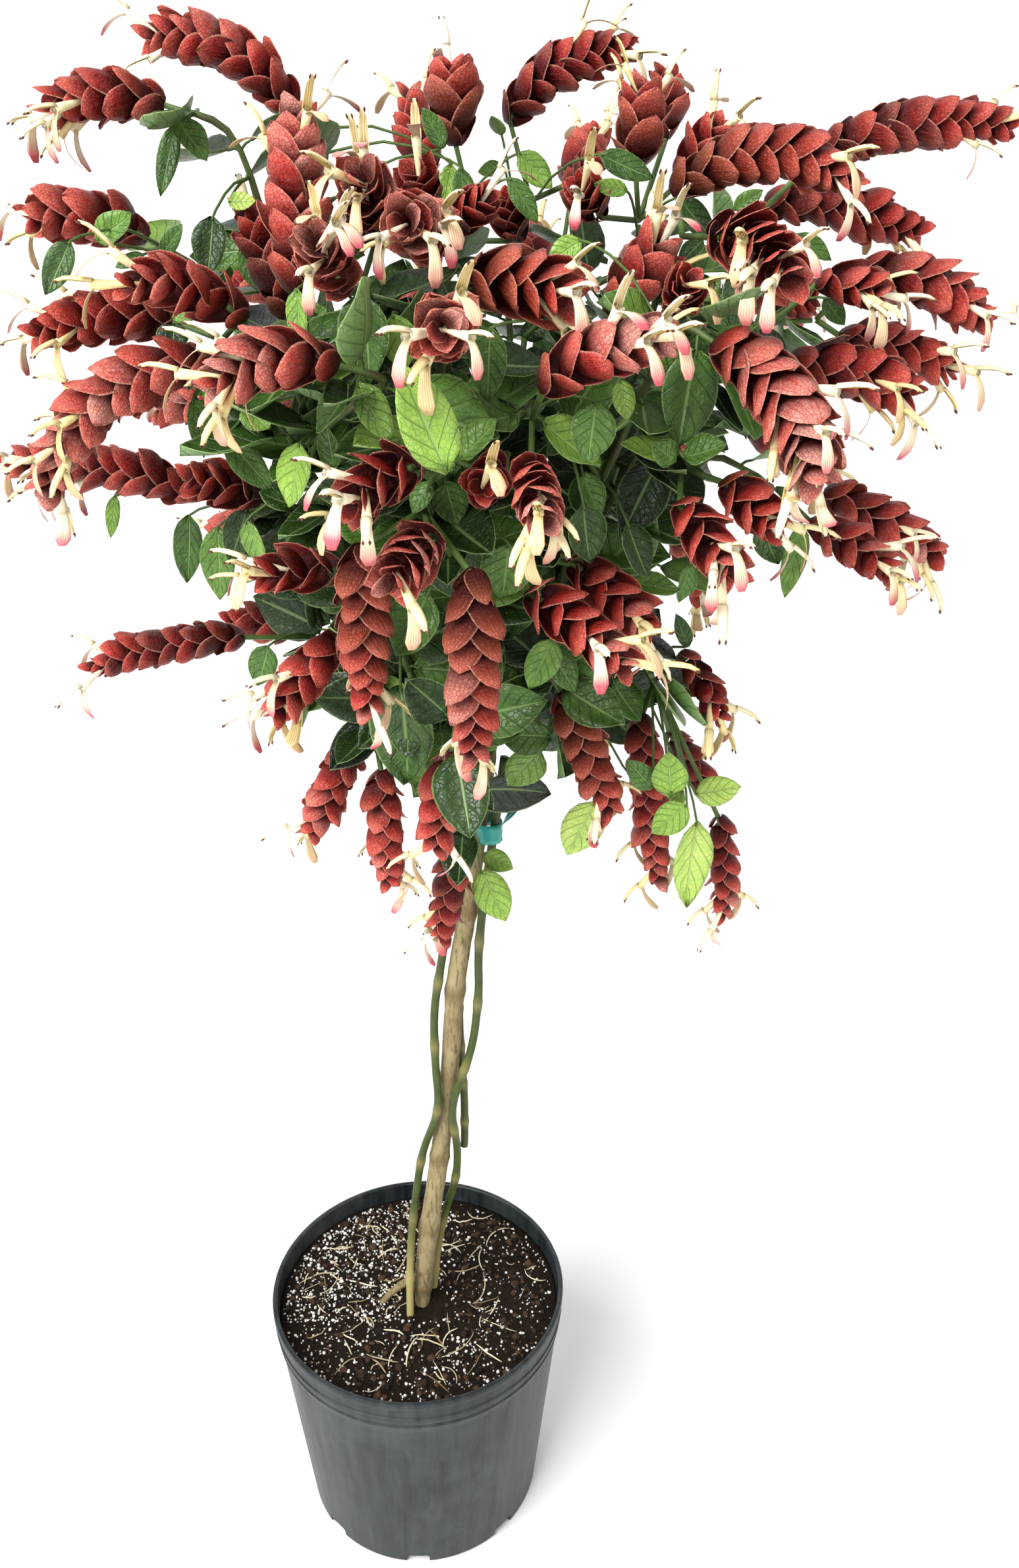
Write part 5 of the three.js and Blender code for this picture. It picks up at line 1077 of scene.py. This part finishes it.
def addTube(heap, route, radii, sides, knots=0, tone=(0.5, 0.5, 0), look=0):
    addShape(heap, tubeShape(route, radii, sides, knots), None, tone, look)


def addBracts(heap, spike):
    axis = bezierThrough(spike["curve"], 40)
    run = lengthsAlong(axis)
    rows = max(7, int(run[-1] / bractLook["spacing"]))
    right, up, ahead = framesAlong(axis)
    front = unit(seenSide - axis[20])  # two of the four ranks look to the front
    twist = atan2(front @ up[20], front @ right[20]) + pi / 4 + rng.normal(0, 0.16)

    def placed(s):  # the axis and its frame at distances s from the spike's foot
        inside = np.clip(s, 0, run[-1])
        centre, side, above, forward = (np.column_stack([np.interp(inside, run, row[:, c]) for c in range(3)])
                                        for row in (axis, right, up, ahead))
        return centre + forward * (s - inside)[:, None], side, above, forward

    for k in range(rows):
        t = mix(-0.03, 0.93, k / (rows - 1))
        size = girthAt(spike, min(1, max(0, t + 0.1))) / bractLook["girth"]
        for half in (0, 1):
            turn = twist + (k % 2) * pi / 2 + half * pi + rng.normal(0, 0.12)
            pitch, yaw = rng.normal(0.02, 0.06) + (0.14 if k < 2 else 0), rng.normal(0, 0.08)
            grow = size * rng.uniform(0.88, 1.08)
            p = bractMaster["points"] * grow
            u, s = bractMaster["u"], bractMaster["side"]
            curl = rng.normal(0.6, 1.6) * u ** 5 + rng.normal(0, 0.9) * s * u * (1 - u) * 4
            ripple = np.sin(u * rng.uniform(7, 12) + s * 2.5 + rng.uniform(0, 6)) * s ** 2 * (0.3 + u)
            curl = curl + rng.uniform(0.3, 0.9) * ripple + 0.5 * np.sin(s * 5 + rng.uniform(0, 6)) * u ** 2
            centre, beside, above, forward = placed(t * run[-1] + p[:, 1])
            out = around(turn, beside, above)
            points = (centre + np.cross(forward, out) * (p[:, 0] + yaw * p[:, 1])[:, None]
                      + out * (p[:, 2] + curl * grow + pitch * p[:, 1])[:, None])
            tone = toneOf[spike["tone"]] + rng.normal(0, 0.13) + 0.26 * (t - 0.5)
            olive = 0.95 * (0.9 - t) if spike["tone"] == "o" else 0.8 * max(0, 0.3 - t)
            shade = (tone, rng.random(), min(1, max(0, olive + rng.normal(0, 0.08))))
            addShape(heap, bractMaster, points, shade)


def addFlower(heap, one):
    p = flowerMaster["points"] * (one["length"] / flower["length"])
    points = (one["throat"] + np.outer(p[:, 0], one["side"]) + np.outer(p[:, 1], one["lean"])
              + np.outer(p[:, 2], one["rise"]))
    addShape(heap, flowerMaster, points, (0, rng.random(), 0), 1)


for name, bunch in bunches.items():
    heap = heapOf()
    for spike in bunch["spikes"]:
        addBracts(heap, spike)
        inner = bezier(spike["curve"], 0.12)
        start = spike["base"] - bunch["lead"] * 1.5
        route = [start, mix(start, inner, 0.5), inner]
        if bunch["joint"]:
            route = [bunch["at"], mix(bunch["at"], spike["base"], 0.6), spike["base"], inner]
        addTube(heap, route, stem["stalk"], 6, look=2)
    for one in bunch["open"]:
        addFlower(heap, one)
    makePiece(name.replace("spikes", "bracts"), heap, ["bract", "petal", "twig"], name)
print("spikes made")

# How the leaves vary: mean and spread of their tone and its limits, wave of the rims, droop, thin end of the
# stalk and its sides. Filler leaves stand in pairs at a few shares of every bough and twig.
chosenLook = {"tone": (0.46, 0.17), "tones": (0.1, 0.98), "curl": (0.3, 1), "droop": (0.8, 1.3),
              "thin": 0.75, "sides": 5}
fillerLook = {"tone": (0.31, 0.18), "tones": (0.02, 0.85), "curl": (0.3, 1.2), "droop": (0.7, 1.5),
              "thin": 0.7, "sides": 4, "length": (32, 58), "width": 0.62, "stalk": 9, "shares": 5,
              "least": -1.0, "lowest": 650, "extra": {"leaf": -1.5, "stem": -2}}


def growLeaf(heap, one, look, tone, line):
    curl, droop = rng.uniform(*look["curl"]), rng.uniform(*look["droop"])
    m = leafMaster
    side = m["points"][:, 0]
    lift = (0.5 - m["under"]) * leafLook["thickness"]
    wave = curl * 0.07 * one["width"] * np.sin(m["u"] * 8 + tone * 20) * np.abs(m["side"]) ** 2
    wave = wave + (curl - 0.45) * 0.24 * one["width"] * m["side"] ** 2  # the rims turn up, or down
    points = leafPlaces(one, m["u"], side, lift + wave, leaf["arch"] * droop)
    shades = np.column_stack([np.full(len(side), tone), np.full(len(side), rng.random()), m["under"]])
    addShape(heap, m, points, shades, 1)
    foot = one["foot"]
    start = line[np.argmin(np.linalg.norm(line - one["from"], axis=1))]
    bow = mix(start, foot, 0.5) + vec(0, 0, 0.12 * gapTo(start, foot))
    inside = foot + one["ahead"] * 0.06 * one["length"]
    stalk = splineThrough([start, bow, foot, inside], 7)
    addTube(heap, stalk, np.linspace(1.0, look["thin"], 8), look["sides"])


def stemRadii(count, thick, thin, nodes):
    t = np.linspace(0, 1, count)
    knots = np.zeros(count)
    for at in nodes:
        knots = np.maximum(knots, np.exp(-((t - at) * count / 1.3) ** 2))
    return mix(thick, thin, t) * (1 + 0.35 * knots), knots


def toneLike(look, more=0.0):
    return float(np.clip(rng.normal(*look["tone"]) + more, *look["tones"]))


def fillerAt(start, heading, first, length):  # the roomiest of five ways round the stem
    best = None
    for roll in range(5):
        out = around(first + roll * 0.5, *sideways(heading))
        aim = unit(out + heading * 0.5 + vec(0, 0, -0.2))
        foot, tip = start + aim * fillerLook["stalk"], start + aim * (fillerLook["stalk"] + length)
        if tip[2] < fillerLook["lowest"]:
            continue
        one = leafFrame(foot, tip, length * fillerLook["width"], outward(start))
        space = spaceAround(leafSpots(one), "none", fillerLook["extra"])
        if best is None or space > best[0]:
            best = (space, one)
    return best[1] if best and best[0] >= fillerLook["least"] else None


youngLeaves = {name: [] for name in boughs}
for *spot, width in smallLeaves:  # each young leaf belongs to the bough that is nearest to its foot
    foot, tip = vec(*spot[:3]), vec(*spot[3:])
    one = leafFrame(foot, tip, width, outward(tip) if foot[2] > leafLook["brightBelow"] else seenSide - tip)
    shoot = int(np.argmin(np.linalg.norm(shootPoints - foot, axis=1)))
    one["from"] = shootPoints[shoot]
    youngLeaves[shoots[shoot][0]["name"]].append(one)

grown = {"leaves": 0, "turned": 0, "fillers": 0}
for bough in boughs.values():
    heap = heapOf()
    main = bezierThrough(bough["curve"], 24)
    main[0] -= unit(main[1] - main[0]) * 3
    lines = [main, *[splineThrough(route, 16) for route in bough["twigs"]]]
    for i, line in enumerate(lines):
        thick, thin, nodes = (2.0, 1.6, (0.3, 0.55, 0.8)) if i else (2.7, 2.0, (0.2, 0.4, 0.6, 0.8))
        radii, knots = stemRadii(len(line), thick, thin, nodes)
        addTube(heap, line, radii, 8, knots)
    every = np.concatenate(lines)
    ownTones = leafLook["ownTones"].get(bough["name"], {})
    for n, one in enumerate([*bough["leaves"], *youngLeaves[bough["name"]]]):
        low = (leafLook["brightBelow"] - one["foot"][2]) / 80  # the young shoots low on the crown are bright
        tone = toneLike(chosenLook, 0.3 * min(1, max(0, low)))
        toView = unit(seenSide - one["foot"])
        if abs(one["up"] @ toView) < leafLook["edgeOn"] or one["foot"][2] < leafLook["turnedBelow"]:
            tip = one["foot"] + one["ahead"] * one["length"]
            one = {**one, **leafFrame(one["foot"], tip, one["width"], toView + 0.4 * outward(tip))}
            grown["turned"] += 1
        growLeaf(heap, one, chosenLook, ownTones.get(n, tone), every)
        grown["leaves"] += 1
    for line in lines:
        for k in range(fillerLook["shares"]):
            share = mix(0.12, 0.93, k / (fillerLook["shares"] - 1))
            i = int(share * (len(line) - 1))
            start, heading = line[i], unit(line[min(i + 1, len(line) - 1)] - line[i - 1])
            first = k * pi / 2 + rng.uniform(0, 0.6)
            for half in (0, 1):
                one = fillerAt(start, heading, first + half * pi, rng.uniform(*fillerLook["length"]))
                if one is None:
                    continue
                one["from"] = start
                addBalls(leafSpots(one), roomOf["filler"], bough["name"], "leaf")
                growLeaf(heap, one, fillerLook, toneLike(fillerLook), line)
                grown["fillers"] += 1
    makePiece(bough["name"].replace("bough", "leaves"), heap, ["twig", "leaf"], bough["name"])
print("boughs made:", grown)

twining = {"radius": 3.3, "knotEvery": 12, "steps": 120, "sides": 12}
# Winding of each twining stem: height, turn round the trunk in degrees, distance from its axis.
windings = {
    "twining_stem_left": [(140, 236, 16), (205, 234, 16), (260, 214, 15.5), (313, 190, 15.4),
                          (334, 182, 15.6), (366, 190, 15.2), (385, 208, 14.2), (404, 232, 13.5),
                          (424, 246, 13.5), (458, 214, 14), (507, 190, 15.4), (545, 200, 14.4),
                          (620, 196, 15), (668, 194, 15.1), (727, 190, 15.1)],
    "twining_stem_right": [(140, 60, 18), (205, 60, 18), (260, 55, 18), (300, 42, 17), (325, 20, 16.5),
                           (357, -8, 15.8), (380, -25, 14.2), (406, -63, 13.5), (424, -72, 13.5),
                           (437, -66, 13.6), (454, -42, 14.4), (483, -12, 18.2), (527, -14, 19.5),
                           (566, -32, 15.4), (604, -46, 14.8), (668, -38, 15.1), (727, -28, 15.1)],
    "twining_stem_back": [(371, 9, 20), (415, 22, 15.8), (449, 44, 12.8), (483, 62, 12), (541, 84, 13),
                          (620, 88, 14.6), (668, 86, 14.7), (727, 80, 14.7)],
}
trunkLine = splineThrough(trunk["route"], 240)


def trunkAt(height):
    return np.array([np.interp(height, trunkLine[:, 2], trunkLine[:, axis]) for axis in range(3)])


def windingAt(name, height):  # turn in radians and distance from the trunk's axis
    heights, turns, reaches = zip(*windings[name])
    return np.radians(np.interp(height, heights, turns)), np.interp(height, heights, reaches)


def eased(row):  # rounds the corners of the table, so that the stem bends smoothly
    return np.convolve(np.pad(row, 3, mode="edge"), np.ones(7) / 7, mode="valid")


for name, winding in windings.items():
    heights = np.linspace(winding[0][0], winding[-1][0], twining["steps"] + 1)
    turn, reach = (eased(row) for row in windingAt(name, heights))
    route = np.array([trunkAt(h) + vec(cos(a), sin(a), 0) * r for h, a, r in zip(heights, turn, reach)])
    k = np.arange(len(route))
    knots = np.exp(-(((k + winding[0][1]) % twining["knotEvery"] - 5) / 1.2) ** 2)
    heap = heapOf()
    addTube(heap, route, twining["radius"] * (0.97 + 0.22 * knots), twining["sides"], knots)
    makePiece(name.replace("twining", "twined"), heap, ["vine"], name)

root = {"route": [(2, -8, 236), (-12, -7, 227), (-26, -6, 212), (-38, -6, 194)], "thick": 3.9, "thin": 2.5}
bark = {"steps": 160, "ringEvery": 18, "ring": 0.14, "wobble": 0.5, "wobbleSize": 22, "ridge": 0.5,
        "ridgeSize": 7, "knob": 0.96, "lump": 0.07, "lumpSize": 9}


def roughness(point, size, shift=0):
    return noise.noise(Vector(point / size + shift))


heap = heapOf()
line = splineThrough(trunk["route"], bark["steps"])
knots = np.exp(-((np.arange(len(line)) % bark["ringEvery"] - bark["ringEvery"] / 2) / 1.4) ** 2)
radii = np.interp(line[:, 2], *zip(*trunk["radii"])) * (1 + bark["ring"] * knots)
radii += np.array([bark["wobble"] * roughness(point, bark["wobbleSize"]) for point in line])
shape = tubeShape(line, radii, 20, knots)
ridges = [(roughness(p, bark["ridgeSize"]), roughness(p, bark["ridgeSize"], 9), 0) for p in shape["points"]]
shape["points"] += bark["ridge"] * np.array(ridges)
addShape(heap, shape)
addTube(heap, splineThrough(root["route"], 16), np.linspace(root["thick"], root["thin"], 17), 10)
bpy.ops.mesh.primitive_ico_sphere_add(subdivisions=4, radius=hub["radius"] * bark["knob"] / 1000)
knob = shapeOf(bpy.context.object)
lumps = np.array([[1 + bark["lump"] * roughness(p, bark["lumpSize"])] for p in knob["points"]])
addShape(heap, knob, knob["points"] * lumps + hubCentre)
makePiece("trunkBark", heap, ["bark"], "trunk")
print("trunk made")

tie = {"height": 668, "tilt": 0.08, "width": 15, "thickness": 0.5, "around": 72, "least": 12.5, "most": 20.3,
       "tailWidth": 9, "tailAcross": 6, "tailAlong": 30,
       "tailWidths": ((0, 0.5), (0.15, 0.9), (0.5, 0.75), (1, 1))}


def bandShape():  # tape pulled tight over the trunk and the stems beside it, pleated at its crossing
    bpy.ops.mesh.primitive_cylinder_add(vertices=tie["around"], radius=0.018, depth=tie["width"] / 1000,
                                        end_fill_type="NOTHING")
    band = bpy.context.object
    bpy.ops.object.mode_set(mode="EDIT")
    bpy.ops.mesh.subdivide(number_cuts=3)
    bpy.ops.object.mode_set(mode="OBJECT")
    points = pointsOf(band)
    turn, z = np.arctan2(points[:, 1], points[:, 0]), points[:, 2]
    reach = np.full(len(points), tie["least"])
    for at, orbit in (windingAt(name, tie["height"]) for name in windings):
        reach = np.maximum(reach, orbit * np.cos(turn - at) + twining["radius"] + 0.9)
    pleat = 0.5 * np.sin(turn * 9 + z * 0.9) + 0.35 * np.sin(turn * 23 + z * 2)
    pinch = 1 - 0.45 * np.exp(-((turn - 0.3) / 0.35) ** 2)
    reach = np.minimum(reach + 0.4 + pleat * 0.6, tie["most"])
    x = reach * np.cos(turn)
    z = z * pinch + np.tan(tie["tilt"]) * reach * np.cos(turn) + 1.2 * np.sin(turn * 3)
    movePoints(band, np.column_stack([x, reach * np.sin(turn), z]))
    thicken(band, tie["thickness"])
    return shapeOf(band)


tail = splineThrough(tieTail, tie["tailAlong"])
tailRight, tailUp, _ = framesAlong(tail)


def bendTail(side, u, width):
    i = np.clip((u * tie["tailAlong"]).round().astype(int), 0, tie["tailAlong"])
    s = side * width * tie["tailWidth"] / 2
    crease = 0.9 * np.cos(side * 5) * np.sin(u * 14) + 0.6 * np.sin(u * 37 + side * 2)
    twist = 0.5 * np.sin(u * 7)
    across = tailUp[i] * np.cos(twist)[:, None] + tailRight[i] * np.sin(twist)[:, None]
    raised = np.cross(across, np.gradient(tail, axis=0)[i]) * crease[:, None] * 0.12
    return tail[i] + across * s[:, None] + raised


heap = heapOf()
band = bandShape()
addShape(heap, band, band["points"] + trunkAt(tie["height"]))
addShape(heap, sheetMaster("tapeTail", tie["tailAcross"], tie["tailAlong"], tie["tailWidths"], bendTail,
                           tie["thickness"]))
makePiece("tapeTie", heap, ["tape"], "tie_ribbon")
print("tie made")

pot = {"base": 104, "wallTop": 123.8, "wallHeight": 196, "wall": 2.4, "around": 160, "notches": 8,
       "notchWidth": 20, "notchHeight": 9, "notchDepth": 14, "notchRound": 3, "rib": 0.7, "ribHalf": 1.2,
       "ribs": (-52, -47.5, 38, 42.5, 128, 132.5, -142, -137.5), "smooth": 38}


def wallAt(z):
    return mix(pot["base"], pot["wallTop"], z / pot["wallHeight"])


def startRound(corners, radius):  # a flat disc, in edit mode and selected all over
    bpy.ops.mesh.primitive_circle_add(vertices=corners, radius=radius / 1000, fill_type="NGON")
    bpy.ops.object.mode_set(mode="EDIT")
    bpy.ops.mesh.select_all(action="SELECT")
    return bpy.context.object


def drawWall(radius, height, rows):  # draws the disc's rim through radii and heights, and closes it
    bpy.ops.mesh.region_to_loop()
    for r, z in rows:
        bpy.ops.mesh.extrude_edges_move(TRANSFORM_OT_translate={"value": (0, 0, (z - height) / 1000)})
        bpy.ops.transform.resize(value=(r / radius, r / radius, 1), center_override=(0, 0, z / 1000))
        radius, height = r, z
    bpy.ops.mesh.edge_face_add()
    bpy.ops.mesh.select_all(action="SELECT")
    bpy.ops.mesh.normals_make_consistent(inside=False)
    bpy.ops.object.mode_set(mode="OBJECT")


def makePot():
    underside = pot["base"] - 3
    outside = [(pot["base"] - 1.4, 0.3), *((wallAt(z), z) for z in (1.4, 4, 60, 120, 185, 189))]
    rim = [(wallAt(190) + 1.3, 191), (wallAt(192) + 1.5, 193.4), (wallAt(195), 195.4), (124.6, 196.4),
           (125.2, 198), (125.2, 201.5), (126.1, 202.4), (126.1, 204), (125.3, 204.9), (125.5, 213.6),
           (126.5, 214.6), (127, 216.4), (127, 220.4), (126.6, 221.5), (125.4, 222), (123.9, 221.8),
           (122.9, 220.8), (122.4, 214)]
    inside = [(121.6, 198), (wallAt(192) - 3.2, 191), (wallAt(120) - 2.4, 120), (wallAt(6) - 2.4, 6),
              (wallAt(3.5) - 4, 3.5)]
    shell = startRound(pot["around"], underside)
    drawWall(underside, 0, [*outside, *rim, *inside])
    points = pointsOf(shell)
    x, y, z = points.T
    turn = np.degrees(np.arctan2(y, x))
    outer = (z > 3) & (z < 186) & (np.hypot(x, y) > wallAt(z) - 1)
    for rib in pot["ribs"]:  # mould ribs stand in pairs
        points[outer & (np.abs(turn - rib) < pot["ribHalf"]), :2] *= 1 + pot["rib"] / 112
    movePoints(shell, points)
    for i in range(pot["notches"]):
        turn = i / pot["notches"] * 2 * pi - pi / 2
        spot = (pot["base"] / 1000 * cos(turn), pot["base"] / 1000 * sin(turn), 0)
        size = (pot["notchDepth"] / 1000, pot["notchWidth"] / 1000, pot["notchHeight"] * 2 / 1000)
        bpy.ops.mesh.primitive_cube_add(size=1, location=spot, rotation=(0, 0, turn), scale=size)
        cutter = bpy.context.object
        edge = cutter.modifiers.new("rounded notch", "BEVEL")
        edge.width, edge.segments = pot["notchRound"] / 1000, 3
        cut = shell.modifiers.new("drain notch", "BOOLEAN")
        cut.operation, cut.object, cut.solver = "DIFFERENCE", cutter, "EXACT"
        bpy.context.view_layer.objects.active = shell
        bpy.ops.object.modifier_apply(modifier=cut.name)
        bpy.data.objects.remove(cutter)
    bpy.ops.object.select_all(action="DESELECT")
    shell.select_set(True)
    bpy.context.view_layer.objects.active = shell
    bpy.ops.object.shade_smooth_by_angle(angle=radians(pot["smooth"]))
    joinPlant(shell, "potShell", ["pot"], "pot")


makePot()
print("pot made")

soil = {"level": 205, "edge": 121.3, "swell": 3.5, "around": 200, "rings": 52, "crumb": 1.3, "shore": 12,
        "sides": (186, 150, 60, 4)}  # mm; the edge is just inside the pot's wall


def soilHeight(x, y):
    inland = min(1, max(0, (soil["edge"] - hypot(x, y)) / soil["shore"]))
    swell = soil["swell"] * (0.5 * sin(x / 17 + 1) * cos(y / 21) + 0.35 * sin((x + y) / 11))
    crumbs = noise.noise(Vector((x / 6, y / 6, 3))) + 0.7 * noise.noise(Vector((x / 2.6, y / 2.6, 8)))
    return soil["level"] + inland * (swell + soil["crumb"] * crumbs)


def makeSoil():  # modelled downwards from its surface, then lifted
    bed = startRound(soil["around"], soil["edge"])
    for ring in range(soil["rings"]):
        bpy.ops.mesh.inset(thickness=(soil["edge"] - 2.5) / soil["rings"] / 1000, depth=0)
    bpy.ops.mesh.poke()
    bpy.ops.mesh.select_all(action="SELECT")
    sides = [(wallAt(z) - pot["wall"] - 1.2 - gap, z - soil["level"]) for z in soil["sides"]]
    drawWall(soil["edge"], 0, sides)
    points = pointsOf(bed)
    top = points[:, 2] > -1
    points[:, 2] += soil["level"]
    points[top, 2] = [soilHeight(x, y) for x, y in points[top, :2]]
    movePoints(bed, points)
    bed.data.polygons.foreach_set("use_smooth", np.ones(len(bed.data.polygons), bool))
    bed.data.update()
    joinPlant(bed, "soilBed", ["soil"], "soil")


makeSoil()

# Loose bits: how many, how far they keep from the edge, mean and spread of the size's logarithm, its
# limits, unevenness of the corners, stretch, height where that is fixed, share that lies above the soil.
bits = {
    "perliteGrains": {"look": "perlite", "count": 2100, "edge": 3, "size": (-0.12, 0.38),
                      "sizes": (0.4, 1.8), "jag": (0.7, 1.25), "stretch": (0.75, 1.15), "height": (),
                      "raised": 0.3, "drifts": True},
    "barkCrumbs": {"look": "crumb", "count": 900, "edge": 5, "size": (0.7, 0.4),
                   "sizes": (1.0, 4.2), "jag": (0.65, 1.3), "stretch": (0.6, 1.2), "height": (0.5,),
                   "raised": 0.2, "drifts": False},
}
straw = {"count": 95, "edge": 16, "length": (8, 34), "thick": (0.3, 0.8),
         "taper": (0.5, 0.9, 1, 1, 1, 0.9, 0.4)}
bpy.ops.mesh.primitive_ico_sphere_add(subdivisions=1, radius=0.001)
grainMaster = shapeOf(bpy.context.object)


def soilSpot(edge):  # anywhere on the soil but the trunk's foot
    while True:
        x, y = rng.uniform(-1, 1, 2) * (soil["edge"] - edge)
        if hypot(x, y) < soil["edge"] - edge and hypot(x - 3, y + 8) > 20:
            return x, y


for name, bit in bits.items():
    heap = heapOf()
    while heap["count"] < bit["count"] * len(grainMaster["points"]):
        x, y = soilSpot(bit["edge"])
        if bit["drifts"]:  # thickest on the left, behind the front edge
            share = 0.35 + 0.65 * (x < -10) * (y > -30) + 0.25 * noise.noise(Vector((x / 25, y / 25, 0)))
            if rng.random() > share:
                continue
        size = np.clip(rng.lognormal(*bit["size"]), *bit["sizes"])
        jag = grainMaster["points"] * rng.uniform(*bit["jag"], (12, 1)) * size
        jag = jag * vec(*rng.uniform(*bit["stretch"], 3 - len(bit["height"])), *bit["height"])
        spot = vec(x, y, soilHeight(x, y) + bit["raised"] * size)
        addShape(heap, grainMaster, jag + spot, (rng.random(), 0, 0))
    makePiece(name, heap, [bit["look"]], "soil")

heap = heapOf()
for _ in range(straw["count"]):
    x, y = soilSpot(straw["edge"])
    length, turn, bend = rng.uniform(*straw["length"]), rng.uniform(0, 2 * pi), rng.normal(0, 0.5)
    route = []
    for s in np.linspace(-0.5, 0.5, 7):
        px = x + length * s * cos(turn + bend * s)
        py = y + length * s * sin(turn + bend * s)
        if hypot(px, py) > soil["edge"] - 3:
            px, py = px * 0.93, py * 0.93
        route.append((px, py, soilHeight(px, py) + 1.0 + 1.2 * (0.5 - abs(s))))
    thick = rng.uniform(*straw["thick"])
    addTube(heap, route, thick * np.array(straw["taper"]), 5, tone=(rng.random(), 0, 0))
makePiece("strawBits", heap, ["straw"], "soil")
print("soil made")

# Studio: a white sweep, an even white sky and one large soft lamp from the upper left.
studio = {"sky": 0.5, "half": 4, "front": -3.2, "bend": 1.4, "radius": 1.2, "top": 4.5}
lamps = {
    "keyLamp": {"spot": (-1.5, -1.9, 2.7), "target": (0.05, 0, 0.75), "size": 2.4, "power": 170},
    "fillLamp": {"spot": (1.9, -1.7, 1.3), "target": (0.05, 0, 0.7), "size": 1.6, "power": 16},
}
bpy.ops.mesh.primitive_plane_add(size=1)
sweep = bpy.context.object
sweep.name = "studioSweep"
curve = [(studio["bend"] + studio["radius"] * sin(a), studio["radius"] * (1 - cos(a)))
         for a in np.linspace(0.15, pi / 2, 12)]
back = studio["bend"] + studio["radius"]
profile = [(studio["front"], 0), (studio["bend"], 0), *curve, (back, studio["top"])]
corners = [(x, y, z - 0.0005) for y, z in profile for x in (-studio["half"], studio["half"])]
strips = [(2 * i, 2 * i + 1, 2 * i + 3, 2 * i + 2) for i in range(len(profile) - 1)]
sweep.data.clear_geometry()
sweep.data.from_pydata(corners, [], strips)
sweep.data.polygons.foreach_set("use_smooth", np.ones(len(strips), bool))
sweep.data.materials.append(finishes["paper"])
sweep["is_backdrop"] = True

world = bpy.context.scene.world = bpy.data.worlds.new("studioSky")
world.use_nodes = True
sky = world.node_tree.nodes["Background"].inputs
sky["Color"].default_value, sky["Strength"].default_value = (1, 1, 1, 1), studio["sky"]

for name, lamp in lamps.items():
    bpy.ops.object.light_add(type="AREA", location=lamp["spot"])
    light = bpy.context.object
    light.name = name
    light.data.size, light.data.energy = lamp["size"], lamp["power"]
    light.rotation_euler = (Vector(lamp["target"]) - Vector(lamp["spot"])).to_track_quat("-Z", "Y").to_euler()

lens = bpy.data.cameras.new("viewCamera")
lens.sensor_width, lens.lens = view["sensor"], view["focal"] / view["imageHeight"] * view["sensor"]
lens.clip_start = 0.01
camera = bpy.data.objects.new("viewCamera", lens)
bpy.context.collection.objects.link(camera)
camera.location = vec(*view["spot"]) / 1000
camera.rotation_euler = (radians(90 - view["pitch"]), 0, 0)
bpy.context.scene.camera = camera
bpy.context.scene.view_settings.view_transform = "Standard"
bpy.context.view_layer.update()

low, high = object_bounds()
print("scene ready")
